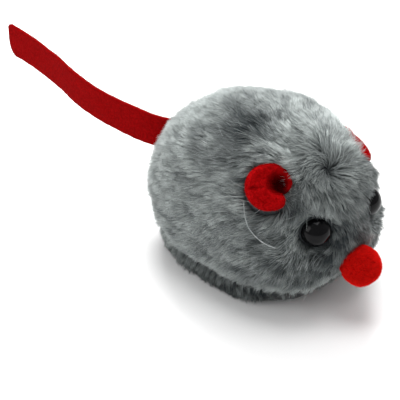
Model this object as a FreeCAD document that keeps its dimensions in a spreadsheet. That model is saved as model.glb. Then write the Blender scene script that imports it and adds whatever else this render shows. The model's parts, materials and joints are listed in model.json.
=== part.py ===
import FreeCAD, Part
import math
import os

import Sketcher

# Clockwork plush mouse.
# The mouse faces -Y, its left side is +X and +Z is up.  z = 0 is the floor that
# the wheels stand on.  Every piece is drawn about the mouse's own middle plane
# and rear-to-front datum, and is then moved by (mid_x, mid_y), which puts the
# middle of the whole toy's footprint, tail and key included, on the origin.

os.makedirs("parts", exist_ok=True)
doc = FreeCAD.newDocument("clockwork_mouse")
V = FreeCAD.Vector
CYC = FreeCAD.Rotation(V(1, 1, 1), 120)  # drawn x, y, z lie along Y, Z, X

# ---------------------------------------------------------------- sizes (mm)
SIZES = [
    # datum
    ("mid_x", -1.75), ("mid_y", -30.0),
    # moulded chassis tray
    ("tray_w", 36.0), ("tray_len", 54.0), ("tray_y", -4.0), ("tray_corner", 10.0),
    ("tray_z", 4.0), ("tray_floor", 2.0), ("tray_rim_top", 9.0), ("tray_wall", 1.6),
    # rear drive axle and wheels
    ("rear_y", 12.0), ("rear_z", 8.0), ("rear_tyre_r", 8.0), ("rear_rim_r", 6.4),
    ("rear_inner_x", 9.6), ("rear_wheel_w", 3.2), ("drive_shaft_r", 1.0), ("drive_half", 13.2),
    # front axle and wheels
    ("front_y", -21.0), ("front_z", 7.0), ("front_wheel_r", 7.0), ("front_inner_x", 8.4),
    ("front_wheel_w", 2.6), ("front_shaft_r", 0.75), ("front_half", 11.4),
    ("lug_x", 4.8), ("lug_w", 2.0), ("lug_half_y", 2.6), ("lug_top", 9.4),
    ("slot_gap", 0.6),
    # spring motor frame
    ("plate_in", 7.0), ("plate_t", 1.0), ("bar_w", 4.0), ("bar_z", 6.0), ("bar_top", 10.0),
    ("bar_front_y", -8.0), ("bar_rear_y", 19.0),
    ("pillar_r", 1.5), ("pillar_a_y", -27.2), ("pillar_a_z", 26.5),
    ("pillar_b_y", 7.0), ("pillar_b_z", 28.5),
    ("screw_x", 2.6), ("screw_hole_r", 0.85), ("screw_head_r", 1.8), ("screw_head_t", 0.9),
    ("screw_len", 4.8), ("pscrew_r", 0.7), ("pscrew_head_r", 1.6), ("pscrew_head_t", 0.9),
    ("pscrew_len", 4.2),
    ("run_gap", 0.05),
    # gear train
    ("module", 0.6), ("gear_t", 1.5), ("pin_r", 0.75), ("sleeve_r", 1.7), ("sleeve_half", 6.7),
    ("great_y", -17.0), ("great_z", 19.0), ("great_x", 2.3), ("great_teeth", 30),
    ("mid1_y", -4.5), ("mid1_z", 21.0), ("mid1_x", 0.0),
    ("mid2_y", 5.5), ("mid2_z", 16.66), ("mid2_x", -3.6),
    ("wheel_teeth", 24), ("pinion_teeth", 12),
    ("pinion_a_x", 1.5), ("pinion_a_w", 2.8), ("pinion_b_x", -0.2), ("pinion_b_w", 1.9),
    ("pinion_c_x", -4.0), ("pinion_c_w", 2.3),
    # winding arbor, ratchet, spring and key
    ("arbor_r", 1.5), ("arbor_start", -8.6), ("arbor_end", 29.0),
    ("ratchet_x", 4.2), ("ratchet_w", 1.0), ("ratchet_r", 4.2), ("ratchet_teeth", 12),
    ("spring_x", -6.3), ("spring_w", 5.5), ("spring_t", 0.3), ("spring_in", 1.75),
    ("spring_pitch", 1.05), ("spring_turns", 6),
    ("key_x", 25.5), ("key_tip_x", 31.0), ("key_hub_r", 2.6), ("key_span", 15.0),
    ("key_wing_t", 2.4), ("key_hole_r", 1.5), ("key_hole_off", 4.9),
    ("eyelet_x", 23.9), ("eyelet_t", 1.1), ("eyelet_r", 4.0), ("eyelet_hole_r", 1.9),
    ("key_recess_r", 8.2),
    # plush
    ("fur_wall", 3.8), ("fur_base_z", 9.0), ("hem_z", 0.8), ("hem_w", 22.9), ("hem_len", 58.8), ("hem_y", -3.0),
    ("pocket_w", 30.0), ("pocket_len", 52.0), ("pocket_top", 34.0), ("tunnel_r", 2.2),
    # face
    ("eye_r", 4.4), ("eye_dome", 3.3), ("eye_rim", 0.8), ("eye_post_r", 1.2), ("eye_post", 4.4), ("eye_well_r", 5.0), ("boss_t", 1.1),
    ("eye_x", 11.2), ("eye_y", -36.57), ("eye_z", 30.7),
    ("washer_r", 4.0), ("washer_t", 1.0), ("washer_depth", 3.0),
    ("nose_r", 6.1), ("nose_y", -44.0), ("nose_z", 17.7),
    ("ear_r", 6.6), ("ear_t", 1.2), ("ear_deep", 3.6), ("ear_foot", 0.4), ("ear_x", 16.75), ("ear_y", -23.35), ("ear_z", 41.6),
    # tail
    ("tail_w", 11.4), ("tail_t", 1.2), ("tail_z", 30.0), ("tail_corner", 2.5),
]
sheet = doc.addObject("Spreadsheet::Sheet", "sizes")
VALUE = {}
for row, (name, value) in enumerate(SIZES, start=1):
    sheet.set("A%d" % row, name)
    sheet.set("B%d" % row, str(value))
    sheet.setAlias("B%d" % row, name)
    VALUE[name] = float(value)
doc.recompute()


class Q:
    """A size: its number, and the expression that binds it to the sheet."""

    def __init__(self, value, text):
        self.v, self.e = float(value), text

    @staticmethod
    def of(other):
        return other if isinstance(other, Q) else Q(other, "%.6f" % other)

    def _join(self, other, sign, value, flip=False):
        a, b = (other, self) if flip else (self, other)
        return Q(value, "(%s %s %s)" % (a.e, sign, b.e))

    def __add__(self, o):
        o = Q.of(o)
        return self._join(o, "+", self.v + o.v)

    def __radd__(self, o):
        return Q.of(o) + self

    def __sub__(self, o):
        o = Q.of(o)
        return self._join(o, "-", self.v - o.v)

    def __rsub__(self, o):
        return Q.of(o) - self

    def __mul__(self, o):
        o = Q.of(o)
        return self._join(o, "*", self.v * o.v)

    def __rmul__(self, o):
        return Q.of(o) * self

    def __truediv__(self, o):
        o = Q.of(o)
        return self._join(o, "/", self.v / o.v)

    def __neg__(self):
        return Q(-self.v, "(0 - %s)" % self.e)


def s(name):
    return Q(VALUE[name], "sizes.%s" % name)


def n(name):
    return VALUE[name]


def bind(obj, prop, size):
    obj.setExpression(prop, Q.of(size).e)


def place(obj, x=0.0, y=0.0, z=0.0, rot=None):
    """Place a piece in the toy's frame, from the mouse's own datum."""
    if rot is not None:
        obj.Placement = FreeCAD.Placement(V(0, 0, 0), rot)
    bind(obj, "Placement.Base.x", s("mid_x") + x)
    bind(obj, "Placement.Base.y", s("mid_y") + y)
    bind(obj, "Placement.Base.z", Q.of(z))
    return obj


def spot(obj, x=0.0, y=0.0, z=0.0, rot=None):
    """Place a building block in the mouse's own frame, before it is moved."""
    if rot is not None:
        obj.Placement = FreeCAD.Placement(V(0, 0, 0), rot)
    for axis, size in (("x", x), ("y", y), ("z", z)):
        bind(obj, "Placement.Base.%s" % axis, size)
    return obj


# ------------------------------------------------------- sketch and body tools
def body(name):
    b = doc.addObject("PartDesign::Body", name)
    b.Label = name
    return b


def sketch(b, name, plane="XY_Plane"):
    sk = b.newObject("Sketcher::SketchObject", name)
    base = [f for f in b.Origin.OriginFeatures if f.Role == plane][0]
    sk.AttachmentSupport = [(base, "")]
    sk.MapMode = "FlatFace"
    return sk


def fix(sk, geo, pos, x, y):
    for kind, size in (("DistanceX", x), ("DistanceY", y)):
        size = Q.of(size)
        i = sk.addConstraint(Sketcher.Constraint(kind, -1, 1, geo, pos, size.v))
        sk.setExpression("Constraints[%d]" % i, size.e)


def poly(sk, points):
    """A closed outline whose corners are each tied to sizes in the sheet."""
    pts = [V(Q.of(x).v, Q.of(y).v, 0) for x, y in points]
    first = None
    for i, p in enumerate(pts):
        g = sk.addGeometry(Part.LineSegment(p, pts[(i + 1) % len(pts)]), False)
        first = g if first is None else first
        if i:
            sk.addConstraint(Sketcher.Constraint("Coincident", g - 1, 2, g, 1))
    sk.addConstraint(Sketcher.Constraint("Coincident", g, 2, first, 1))
    for i, (x, y) in enumerate(points):
        fix(sk, first + i, 1, x, y)


def rect(sk, x0, y0, x1, y1):
    poly(sk, [(x0, y0), (x1, y0), (x1, y1), (x0, y1)])


def circle(sk, x, y, r):
    x, y, r = Q.of(x), Q.of(y), Q.of(r)
    g = sk.addGeometry(Part.Circle(V(x.v, y.v, 0), V(0, 0, 1), r.v), False)
    i = sk.addConstraint(Sketcher.Constraint("Radius", g, r.v))
    sk.setExpression("Constraints[%d]" % i, r.e)
    fix(sk, g, 3, x, y)


def pad(b, sk, name, length):
    f = b.newObject("PartDesign::Pad", name)
    f.Profile = sk
    bind(f, "Length", length)
    return f


def pocket(b, sk, name, length, reverse=False):
    f = b.newObject("PartDesign::Pocket", name)
    f.Profile = sk
    f.Reversed = reverse
    bind(f, "Length", length)
    return f


def offset(sk, z):
    bind(sk, "AttachmentOffset.Base.z", z)


def spin(b, sk, name, axis="V_Axis"):
    f = b.newObject("PartDesign::Revolution", name)
    f.Profile = sk
    f.ReferenceAxis = (sk, [axis])
    f.Angle = 360.0
    return f


def cyl(name, r, length, x=0.0, y=0.0, z=0.0, rot=None):
    c = doc.addObject("Part::Cylinder", name)
    bind(c, "Radius", r)
    bind(c, "Height", length)
    return spot(c, x, y, z, rot)


def box(name, dx, dy, dz, x=0.0, y=0.0, z=0.0):
    b = doc.addObject("Part::Box", name)
    bind(b, "Length", dx)
    bind(b, "Width", dy)
    bind(b, "Height", dz)
    return spot(b, x, y, z)


def cut(name, base, *tools):
    for i, tool in enumerate(tools):
        c = doc.addObject("Part::Cut", name if i == len(tools) - 1 else "%s_step%d" % (name, i))
        c.Base, c.Tool = base, tool
        base = c
    return base


def fuse(name, *shapes):
    f = doc.addObject("Part::MultiFuse", name)
    f.Shapes = list(shapes)
    return f


def feature(name, shape):
    f = doc.addObject("Part::Feature", name)
    f.Shape = shape
    return f


ALONG_X = FreeCAD.Rotation(V(0, 1, 0), 90)  # a cylinder's own z lies along X
PIECES = []  # the sub-parts, in the order they are written


def piece(obj, label=None):
    if label:
        obj.Label = label
    PIECES.append(obj)
    return obj


# ============================================================ moulded chassis
tray = body("chassis_base")
half_w, half_l = s("tray_w") / 2, s("tray_len") / 2
c = s("tray_corner")


def round_uprights(b, feat, name, radius, low, high, reach):
    """Fillet the upright corner edges of a block or a hollow, between two heights."""
    doc.recompute()
    picked = []
    for i, e in enumerate(feat.Shape.Edges, start=1):
        bb = e.BoundBox
        if (bb.XLength < 1e-6 and bb.YLength < 1e-6 and abs(bb.ZMin - low) < 1e-4
                and abs(bb.ZMax - high) < 1e-4 and abs(abs(bb.XMin) - reach) < 1e-4):
            picked.append("Edge%d" % i)
    assert len(picked) == 4, (name, len(picked))
    f = b.newObject("PartDesign::Fillet", name)
    f.Base = (feat, picked)
    bind(f, "Radius", radius)
    return f


deep = s("tray_rim_top") - s("tray_z")
sk = sketch(tray, "tray_outline")
rect(sk, -half_w, s("tray_y") - half_l, half_w, s("tray_y") + half_l)
block = pad(tray, sk, "tray_block", deep)
sk = sketch(tray, "tray_hollow")
iw, il = half_w - s("tray_wall"), half_l - s("tray_wall")
rect(sk, -iw, s("tray_y") - il, iw, s("tray_y") + il)
offset(sk, s("tray_floor"))
inside = pocket(tray, sk, "tray_inside", deep - s("tray_floor") + 1.0, reverse=True)
inner = round_uprights(tray, inside, "tray_inner_corners", c - s("tray_wall"), n("tray_floor"), deep.v, iw.v)
round_uprights(tray, inner, "tray_corners", c, 0.0, deep.v, half_w.v)
# axle lugs for the front wheels, moulded on the floor
sk = sketch(tray, "lug_outline")
offset(sk, s("tray_floor") - 0.5)
for sign in (1, -1):
    a, b2 = s("lug_x") * sign, (s("lug_x") + s("lug_w")) * sign
    lo, hi = (a, b2) if sign > 0 else (b2, a)
    rect(sk, lo, s("front_y") - s("lug_half_y"), hi, s("front_y") + s("lug_half_y"))
pad(tray, sk, "lugs", s("lug_top") - s("tray_z") - s("tray_floor") + 0.5)
# slots that the four wheels reach through
sk = sketch(tray, "wheel_slots")
for sign in (1, -1):
    for inner, width, y, reach in (
        (s("rear_inner_x"), s("rear_wheel_w"), s("rear_y"), s("rear_tyre_r") + s("slot_gap")),
        (s("front_inner_x"), s("front_wheel_w"), s("front_y"), s("front_wheel_r") + 0.4),
    ):
        a, b2 = (inner - s("slot_gap")) * sign, (inner + width + s("slot_gap")) * sign
        lo, hi = (a, b2) if sign > 0 else (b2, a)
        rect(sk, lo, y - reach, hi, y + reach)
# and a window under the drive pinion, whose teeth dip into the floor
rect(sk, s("pinion_c_x") - 0.7, s("rear_y") - 4.3, Q.of(0.6), s("rear_y") + 4.3)
offset(sk, -1.0)
pocket(tray, sk, "wheel_openings", s("tray_floor") + 2.0, reverse=True)
# screw holes with counterbores, up from the underside
SCREWS = [(sx, by) for by in ("bar_front_y", "bar_rear_y") for sx in (1, -1)]
sk = sketch(tray, "screw_holes")
for sx, by in SCREWS:
    circle(sk, s("screw_x") * sx, s(by), s("screw_hole_r") + 0.1)
offset(sk, -1.0)
pocket(tray, sk, "screw_bores", s("tray_floor") + 2.0, reverse=True)
sk = sketch(tray, "screw_sinks")
for sx, by in SCREWS:
    circle(sk, s("screw_x") * sx, s(by), s("screw_head_r") + 0.1)
offset(sk, -1.0)
pocket(tray, sk, "screw_counterbores", s("screw_head_t") + 0.1 + 1.0, reverse=True)
# front axle bore through both lugs (seen along X)
sk = sketch(tray, "axle_bore", "YZ_Plane")
circle(sk, s("front_y"), s("front_z") - s("tray_z"), s("front_shaft_r") + s("run_gap"))
f = pocket(tray, sk, "axle_bores", s("lug_x") * 4)
f.Midplane = True
place(tray, z=s("tray_z"))
piece(tray)

# screws from the underside into the motor's cross bars
parts = []
for i, (sx, by) in enumerate(SCREWS):
    head = cyl("cs_head%d" % i, s("screw_head_r"), s("screw_head_t"), s("screw_x") * sx, s(by), s("tray_z") + 0.1)
    shank = cyl("cs_shank%d" % i, s("screw_hole_r"), s("screw_len") - s("screw_head_t"),
                s("screw_x") * sx, s(by), s("tray_z") + 0.1 + s("screw_head_t"))
    slot_a = box("cs_slot%da" % i, 2.2, 0.5, 0.6, s("screw_x") * sx - 1.1, s(by) - 0.25, s("tray_z") - 0.1)
    slot_b = box("cs_slot%db" % i, 0.5, 2.2, 0.6, s("screw_x") * sx - 0.25, s(by) - 1.1, s("tray_z") - 0.1)
    parts.append(cut("cs_screw%d" % i, fuse("cs_solid%d" % i, head, shank), slot_a, slot_b))
doc.recompute()
screws = doc.addObject("Part::Compound", "chassis_screws")
screws.Links = parts
place(screws)
piece(screws)


# ============================================================= motor frame
def motor_plate(name, x):
    b = body(name)
    sk = sketch(b, name + "_outline")
    poly(sk, [
        (s("bar_front_y") - 3.5, s("tray_z") + s("tray_floor") + 0.1),
        (s("bar_rear_y") + 2.0, s("tray_z") + s("tray_floor") + 0.1),
        (s("bar_rear_y") + 2.0, s("rear_z") + 4.0),
        (s("rear_y") + 4.5, s("mid2_z") + 3.3),
        (s("pillar_b_y") + 2.6, s("pillar_b_z") + 2.5),
        (s("pillar_a_y") - 2.3, s("pillar_a_z") + 3.0),
        (s("pillar_a_y") - 2.3, s("great_z") - 4.0),
    ])
    circle(sk, s("rear_y"), s("rear_z"), s("drive_shaft_r") + s("run_gap"))
    circle(sk, s("great_y"), s("great_z"), s("arbor_r") + s("run_gap"))
    circle(sk, s("mid1_y"), s("mid1_z"), s("pin_r"))
    circle(sk, s("mid2_y"), s("mid2_z"), s("pin_r"))
    for y, z in PLATE_SCREWS:
        circle(sk, y, z, s("pscrew_r"))
    # lightening hole between the spring and the back of the train
    circle(sk, s("rear_y") - 0.6, s("mid2_z") + 5.4, 2.0)
    pad(b, sk, name + "_sheet", s("plate_t"))
    place(b, x=x, rot=CYC)
    return piece(b)


PLATE_SCREWS = [
    (s("bar_front_y"), s("rear_z")), (s("bar_rear_y"), s("rear_z")),
    (s("pillar_a_y"), s("pillar_a_z")), (s("pillar_b_y"), s("pillar_b_z")),
]
motor_plate("motor_plate_left", s("plate_in"))
motor_plate("motor_plate_right", -s("plate_in") - s("plate_t"))

for name, y in (("motor_bar_front", s("bar_front_y")), ("motor_bar_rear", s("bar_rear_y"))):
    # cross bar between the plates, drilled at both ends and from below
    bar = box(name + "_bar", s("plate_in") * 2, s("bar_w"), s("bar_top") - s("bar_z"),
              -s("plate_in"), y - s("bar_w") / 2, s("bar_z"))
    tools = []
    for j, sx in enumerate((1, -1)):
        tools.append(cyl("%s_up%d" % (name, j), s("screw_hole_r"),
                         s("screw_len") + 0.1 - s("tray_floor") + 1.0,
                         s("screw_x") * sx, y, s("bar_z") - 1.0))
        start = s("plate_in") - s("pscrew_len") + s("plate_t") + s("pscrew_head_t") if sx > 0 else -s("plate_in") - 1.0
        tools.append(cyl("%s_end%d" % (name, j), s("pscrew_r"),
                         s("pscrew_len") - s("plate_t") - s("pscrew_head_t") + 1.0, start, y, s("rear_z"), ALONG_X))
    doc.recompute()
    bar = cut(name, bar, *tools)
    place(bar)
    piece(bar, name)

parts = []
for j, (y, z) in enumerate(PLATE_SCREWS[2:]):
    rod = cyl("pillar_rod%d" % j, s("pillar_r"), s("plate_in") * 2, -s("plate_in"), y, z, ALONG_X)
    depth = s("pscrew_len") - s("plate_t") - s("pscrew_head_t")
    e0 = cyl("pillar_end%da" % j, s("pscrew_r"), depth + 1.0, -s("plate_in") - 1.0, y, z, ALONG_X)
    e1 = cyl("pillar_end%db" % j, s("pscrew_r"), depth + 1.0, s("plate_in") - depth, y, z, ALONG_X)
    parts.append(cut("pillar%d" % j, rod, e0, e1))
pillars = doc.addObject("Part::Compound", "motor_pillars")
pillars.Links = parts
place(pillars)
piece(pillars)

parts = []
for j, (y, z) in enumerate(PLATE_SCREWS):
    for sx in (1, -1):
        out = s("plate_in") + s("plate_t")
        tag = "%d%s" % (j, "l" if sx > 0 else "r")
        depth = s("pscrew_len") - s("pscrew_head_t")
        head = cyl("ps_head" + tag, s("pscrew_head_r"), s("pscrew_head_t"),
                   out if sx > 0 else -out - s("pscrew_head_t"), y, z, ALONG_X)
        shank = cyl("ps_shank" + tag, s("pscrew_r"), depth, out - depth if sx > 0 else -out, y, z, ALONG_X)
        groove = box("ps_slot" + tag, 0.5, 3.6, 0.5, (out + s("pscrew_head_t") - 0.4) if sx > 0 else (-out - s("pscrew_head_t") - 0.1),
                     y - 1.8, z - 0.25)
        parts.append(cut("ps" + tag, fuse("ps_solid" + tag, head, shank), groove))
pscrews = doc.addObject("Part::Compound", "motor_screws")
pscrews.Links = parts
place(pscrews)
piece(pscrews)

parts = []
for j, (y, z) in enumerate(((s("mid1_y"), s("mid1_z")), (s("mid2_y"), s("mid2_z")))):
    parts.append(cyl("gear_pin%d" % j, s("pin_r"), (s("plate_in") + s("plate_t")) * 2,
                     -s("plate_in") - s("plate_t"), y, z, ALONG_X))
pins = doc.addObject("Part::Compound", "gear_pins")
pins.Links = parts
place(pins)
piece(pins)


# ================================================================ gear train
def involute(a):
    return math.tan(a) - a


def gear_wire(teeth, m, turn, slack=0.09, add=0.80, ded=1.12):
    """The outline of a spur gear: involute flanks as arcs, 20 degree pressure angle."""
    r = m * teeth / 2
    rb = r * math.cos(math.radians(20))
    ra, rf = r + add * m, r - ded * m
    half = math.pi / (2 * teeth) - slack / (2 * r)
    inv0 = involute(math.radians(20))

    def ang(rho):
        return half + inv0 - (involute(math.acos(rb / rho)) if rho > rb else 0.0)

    def at(rho, a):
        return V(rho * math.cos(a), rho * math.sin(a), 0)

    low = max(rb, rf)
    mid = (low + ra) / 2
    edges = []
    step = 2 * math.pi / teeth
    for i in range(teeth):
        t = turn + i * step
        root_a = ang(low)
        if rf < rb:
            edges.append(Part.LineSegment(at(rf, t - root_a), at(rb, t - root_a)).toShape())
        edges.append(Part.Arc(at(low, t - root_a), at(mid, t - ang(mid)), at(ra, t - ang(ra))).toShape())
        edges.append(Part.Arc(at(ra, t - ang(ra)), at(ra, t), at(ra, t + ang(ra))).toShape())
        edges.append(Part.Arc(at(ra, t + ang(ra)), at(mid, t + ang(mid)), at(low, t + root_a)).toShape())
        if rf < rb:
            edges.append(Part.LineSegment(at(rb, t + root_a), at(rf, t + root_a)).toShape())
        nxt = t + step
        edges.append(Part.Arc(at(rf, t + root_a), at(rf, t + step / 2), at(rf, nxt - root_a)).toShape())
    return Part.Wire(Part.__sortEdges__(edges))


def gear_solid(teeth, turn, x0, width, holes=()):
    """A spur gear drawn about its own axis, holes as (radius, distance, angle)."""
    face = Part.Face(gear_wire(int(teeth), n("module"), turn))
    solid = face.extrude(V(0, 0, width))
    solid.translate(V(0, 0, x0))
    for hr, dist, a in holes:
        solid = solid.cut(Part.makeCylinder(hr, width + 2, V(dist * math.cos(a), dist * math.sin(a), x0 - 1)))
    return solid


def mesh_turn(turn_a, teeth_a, at_a, teeth_b, at_b):
    """The tooth angle of gear b that sets it in mesh with gear a."""
    alpha = math.atan2(at_b[1] - at_a[1], at_b[0] - at_a[0])
    phase = (turn_a - alpha) / (2 * math.pi / teeth_a)
    return alpha + math.pi + (-phase - 0.5) * (2 * math.pi / teeth_b)


gt, wt, pt = n("great_teeth"), n("wheel_teeth"), n("pinion_teeth")
at_great = (n("great_y"), n("great_z"))
at_1 = (n("mid1_y"), n("mid1_z"))
at_2 = (n("mid2_y"), n("mid2_z"))
at_axle = (n("rear_y"), n("rear_z"))
m = n("module")
for label, pa, pb, want in (("great to first", at_great, at_1, m * (gt + pt) / 2),
                            ("first to second", at_1, at_2, m * (wt + pt) / 2),
                            ("second to axle", at_2, at_axle, m * (wt + pt) / 2)):
    got = math.dist(pa, pb)
    print("centre distance", label, round(got, 3), "for", round(want, 3))
    assert 0.0 <= got - want < 0.13, label

turn_great = 0.0
turn_p1 = mesh_turn(turn_great, gt, at_great, pt, at_1)
turn_w1 = 0.13
turn_p2 = mesh_turn(turn_w1, wt, at_1, pt, at_2)
turn_w2 = 0.07
turn_p3 = mesh_turn(turn_w2, wt, at_2, pt, at_axle)

SPOKES = [(1.5, 5.0, math.radians(a)) for a in (0, 60, 120, 180, 240, 300)]
great = gear_solid(gt, turn_great, n("great_x"), n("gear_t"), SPOKES)
great = great.cut(Part.makeCylinder(n("arbor_r") + n("run_gap"), 40, V(0, 0, -20)))
great = feature("great_gear", great)
place(great, y=s("great_y"), z=s("great_z"), rot=CYC)
piece(great)


def compound(name, turn_w, wheel_x, turn_p, pin_x, pin_w, y, z):
    """A wheel and a pinion moulded on one sleeve, which turns on a steel pin."""
    wheel = gear_solid(wt, turn_w, n(wheel_x), n("gear_t"), [(0.9, 4.2, math.radians(a)) for a in (30, 150, 270)])
    pin = gear_solid(pt, turn_p, n(pin_x), n(pin_w))
    sleeve = Part.makeCylinder(n("sleeve_r"), 2 * n("sleeve_half"), V(0, 0, -n("sleeve_half")))
    bore = Part.makeCylinder(n("pin_r") + n("run_gap"), 40, V(0, 0, -20))
    obj = feature(name, sleeve.fuse([wheel, pin]).cut(bore).removeSplitter())
    place(obj, y=s(y), z=s(z), rot=CYC)
    return piece(obj)


compound("compound_gear_1", turn_w1, "mid1_x", turn_p1, "pinion_a_x", "pinion_a_w", "mid1_y", "mid1_z")
compound("compound_gear_2", turn_w2, "mid2_x", turn_p2, "pinion_b_x", "pinion_b_w", "mid2_y", "mid2_z")

# ratchet wheel: saw teeth, fixed on the winding arbor
rt = int(n("ratchet_teeth"))
pts = []
for i in range(rt):
    a0, a1 = 2 * math.pi * i / rt, 2 * math.pi * (i + 1) / rt
    lo = n("ratchet_r") - 0.8
    pts.append(V(lo * math.cos(a0), lo * math.sin(a0), 0))
    a = a1 - 0.06
    pts.append(V(n("ratchet_r") * math.cos(a), n("ratchet_r") * math.sin(a), 0))
saw = Part.Face(Part.makePolygon(pts + [pts[0]])).extrude(V(0, 0, n("ratchet_w")))
saw.translate(V(0, 0, n("ratchet_x")))
saw = saw.cut(Part.makeCylinder(n("arbor_r"), 40, V(0, 0, -20)))
ratchet = feature("ratchet_wheel", saw)
place(ratchet, y=s("great_y"), z=s("great_z"), rot=CYC)
piece(ratchet)

# click: a post on the great gear's face with a bent spring finger over the ratchet
fx = n("great_x") + n("gear_t")
post = Part.makeCylinder(0.9, 1.5, V(0, 6.9, fx))
finger = Part.makeBox(4.6, 0.4, 1.0, V(-4.3, 6.7, fx + 0.4))
tip = Part.makeBox(0.5, 2.2, 1.0, V(-4.3, 4.9, fx + 0.4))
click = feature("click_spring", post.fuse([finger, tip]).removeSplitter())
place(click, y=s("great_y"), z=s("great_z"), rot=CYC)
piece(click)

# winding arbor: a round shaft that the key is pressed on
arbor = cyl("winding_arbor", s("arbor_r"), s("arbor_end") - s("arbor_start"), rot=ALONG_X)
place(arbor, x=s("arbor_start"), y=s("great_y"), z=s("great_z"), rot=ALONG_X)
piece(arbor)

# mainspring: a spiral of flat strip, its outer end laid along the front pillar
t2, spring_x = n("spring_t") / 2, n("spring_x")
edges_in, edges_out = [], []
rad, cx, side = n("spring_in") + t2, 0.0, 1
start_in = start_out = None
for k in range(int(n("spring_turns") * 2)):
    # half turns of growing radius, their centres stepping along the first axis
    ends = []
    for off, store in ((-t2, edges_in), (t2, edges_out)):
        rr = rad + off
        p0, p1, p2 = V(cx + side * rr, 0, spring_x), V(cx, side * rr, spring_x), V(cx - side * rr, 0, spring_x)
        store.append(Part.Arc(p0, p1, p2).toShape())
        ends.append((p0, p2))
    if start_in is None:
        start_in, start_out = ends[0][0], ends[1][0]
    grow = n("spring_pitch") / 2
    end_x = cx - side * rad
    rad += grow
    cx = end_x + side * rad
    side = -side
end_in, end_out = ends[0][1], ends[1][1]
rise = n("pillar_a_z") - n("great_z") + 1.0
# the strip leaves the last half turn straight along the pillar
direction = 1.0 if side > 0 else -1.0
print("spring outer end at", round(end_in.x, 2), round(end_out.x, 2), "side", side)
tail_in, tail_out = end_in + V(0, direction * rise, 0), end_out + V(0, direction * rise, 0)
loop = edges_in + [Part.LineSegment(end_in, tail_in).toShape(), Part.LineSegment(tail_in, tail_out).toShape(),
                   Part.LineSegment(tail_out, end_out).toShape()] + edges_out + [Part.LineSegment(start_out, start_in).toShape()]
spiral = Part.Face(Part.Wire(Part.__sortEdges__(loop))).extrude(V(0, 0, n("spring_w")))
spring = feature("mainspring", spiral)
place(spring, y=s("great_y"), z=s("great_z"), rot=CYC)
piece(spring)

# ============================================================ axles and wheels
axle = cyl("drive_axle", s("drive_shaft_r"), s("drive_half") * 2, rot=ALONG_X)
place(axle, x=-s("drive_half"), y=s("rear_y"), z=s("rear_z"), rot=ALONG_X)
piece(axle)
pinion = gear_solid(pt, turn_p3, n("pinion_c_x"), n("pinion_c_w"))
collar = Part.makeCylinder(2.2, 1.6, V(0, 0, n("pinion_c_x") + n("pinion_c_w")))
pinion = pinion.fuse(collar).cut(Part.makeCylinder(n("drive_shaft_r"), 40, V(0, 0, -20))).removeSplitter()
pinion = feature("drive_pinion", pinion)
place(pinion, y=s("rear_y"), z=s("rear_z"), rot=CYC)
piece(pinion)


def turned(name, outline, x, y, z, mirror=False):
    """A round piece: its half outline is (distance from the axle, along the axle)."""
    b = body(name)
    sk = sketch(b, name + "_outline", "XZ_Plane")
    poly(sk, outline)
    spin(b, sk, name + "_turned")
    rot = ALONG_X if not mirror else FreeCAD.Rotation(V(0, 1, 0), -90)
    place(b, x=x, y=y, z=z, rot=rot)
    return piece(b)


w, rr, sr = s("rear_wheel_w"), s("rear_rim_r"), s("drive_shaft_r")
hub = [(sr, Q.of(0)), (sr + 1.6, Q.of(0)), (sr + 1.6, w * 0.34), (rr - 1.3, w * 0.34), (rr - 1.3, Q.of(0)), (rr, Q.of(0)),
       (rr, w), (rr - 1.3, w), (rr - 1.3, w * 0.66), (sr + 1.6, w * 0.66), (sr + 1.2, w + 0.2), (sr, w + 0.2)]
tr = s("rear_tyre_r")
tyre = [(rr, Q.of(0)), (tr - 0.5, Q.of(0)), (tr, w * 0.2), (tr, w * 0.4), (tr - 0.25, w * 0.45), (tr - 0.25, w * 0.55),
        (tr, w * 0.6), (tr, w * 0.8), (tr - 0.5, w), (rr, w)]
fr, fw, fs = s("front_wheel_r"), s("front_wheel_w"), s("front_shaft_r")
front = [(fs, Q.of(-0.6)), (fs + 1.2, Q.of(-0.6)), (fs + 1.2, fw * 0.3), (fr - 1.4, fw * 0.3), (fr - 1.4, Q.of(0)), (fr - 0.3, Q.of(0)), (fr, fw * 0.15),
         (fr, fw * 0.85), (fr - 0.3, fw), (fr - 1.4, fw), (fr - 1.4, fw * 0.7), (fs + 1.2, fw * 0.7), (fs + 1.2, fw), (fs, fw)]
for side_name, sx in (("left", 1), ("right", -1)):
    x = s("rear_inner_x") * sx
    turned("rear_wheel_" + side_name, hub, x, s("rear_y"), s("rear_z"), mirror=sx < 0)
    turned("rear_tyre_" + side_name, tyre, x, s("rear_y"), s("rear_z"), mirror=sx < 0)
axle = cyl("front_axle", s("front_shaft_r"), s("front_half") * 2, rot=ALONG_X)
place(axle, x=-s("front_half"), y=s("front_y"), z=s("front_z"), rot=ALONG_X)
piece(axle)
for side_name, sx in (("left", 1), ("right", -1)):
    turned("front_wheel_" + side_name, front, s("front_inner_x") * sx, s("front_y"), s("front_z"), mirror=sx < 0)

# ================================================================ winding key
khub = cyl("key_hub", s("key_hub_r"), s("key_tip_x") - s("key_x") - 0.6, s("key_x"), s("great_y"), s("great_z"), ALONG_X)
wing = box("key_wing", s("key_tip_x") - s("key_x") - 0.3, s("key_wing_t"), s("key_span"),
           s("key_x") + 0.3, s("great_y") - s("key_wing_t") / 2, s("great_z") - s("key_span") / 2)
doc.recompute()
round_wing = doc.addObject("Part::Fillet", "key_wing_round")
round_wing.Base = wing
edges = []
for i, e in enumerate(wing.Shape.Edges, start=1):
    d = e.Vertexes[1].Point - e.Vertexes[0].Point
    if abs(d.y) > 1 and abs(d.x) < 1e-6 and abs(d.z) < 1e-6:
        edges.append((i, 2.2, 2.2))
round_wing.Edges = edges
kfull = fuse("key_body", khub, round_wing)
kbore = cyl("key_bore", s("arbor_r"), s("arbor_end") - s("key_x") + 1.0, s("key_x") - 1.0, s("great_y"), s("great_z"), ALONG_X)
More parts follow.
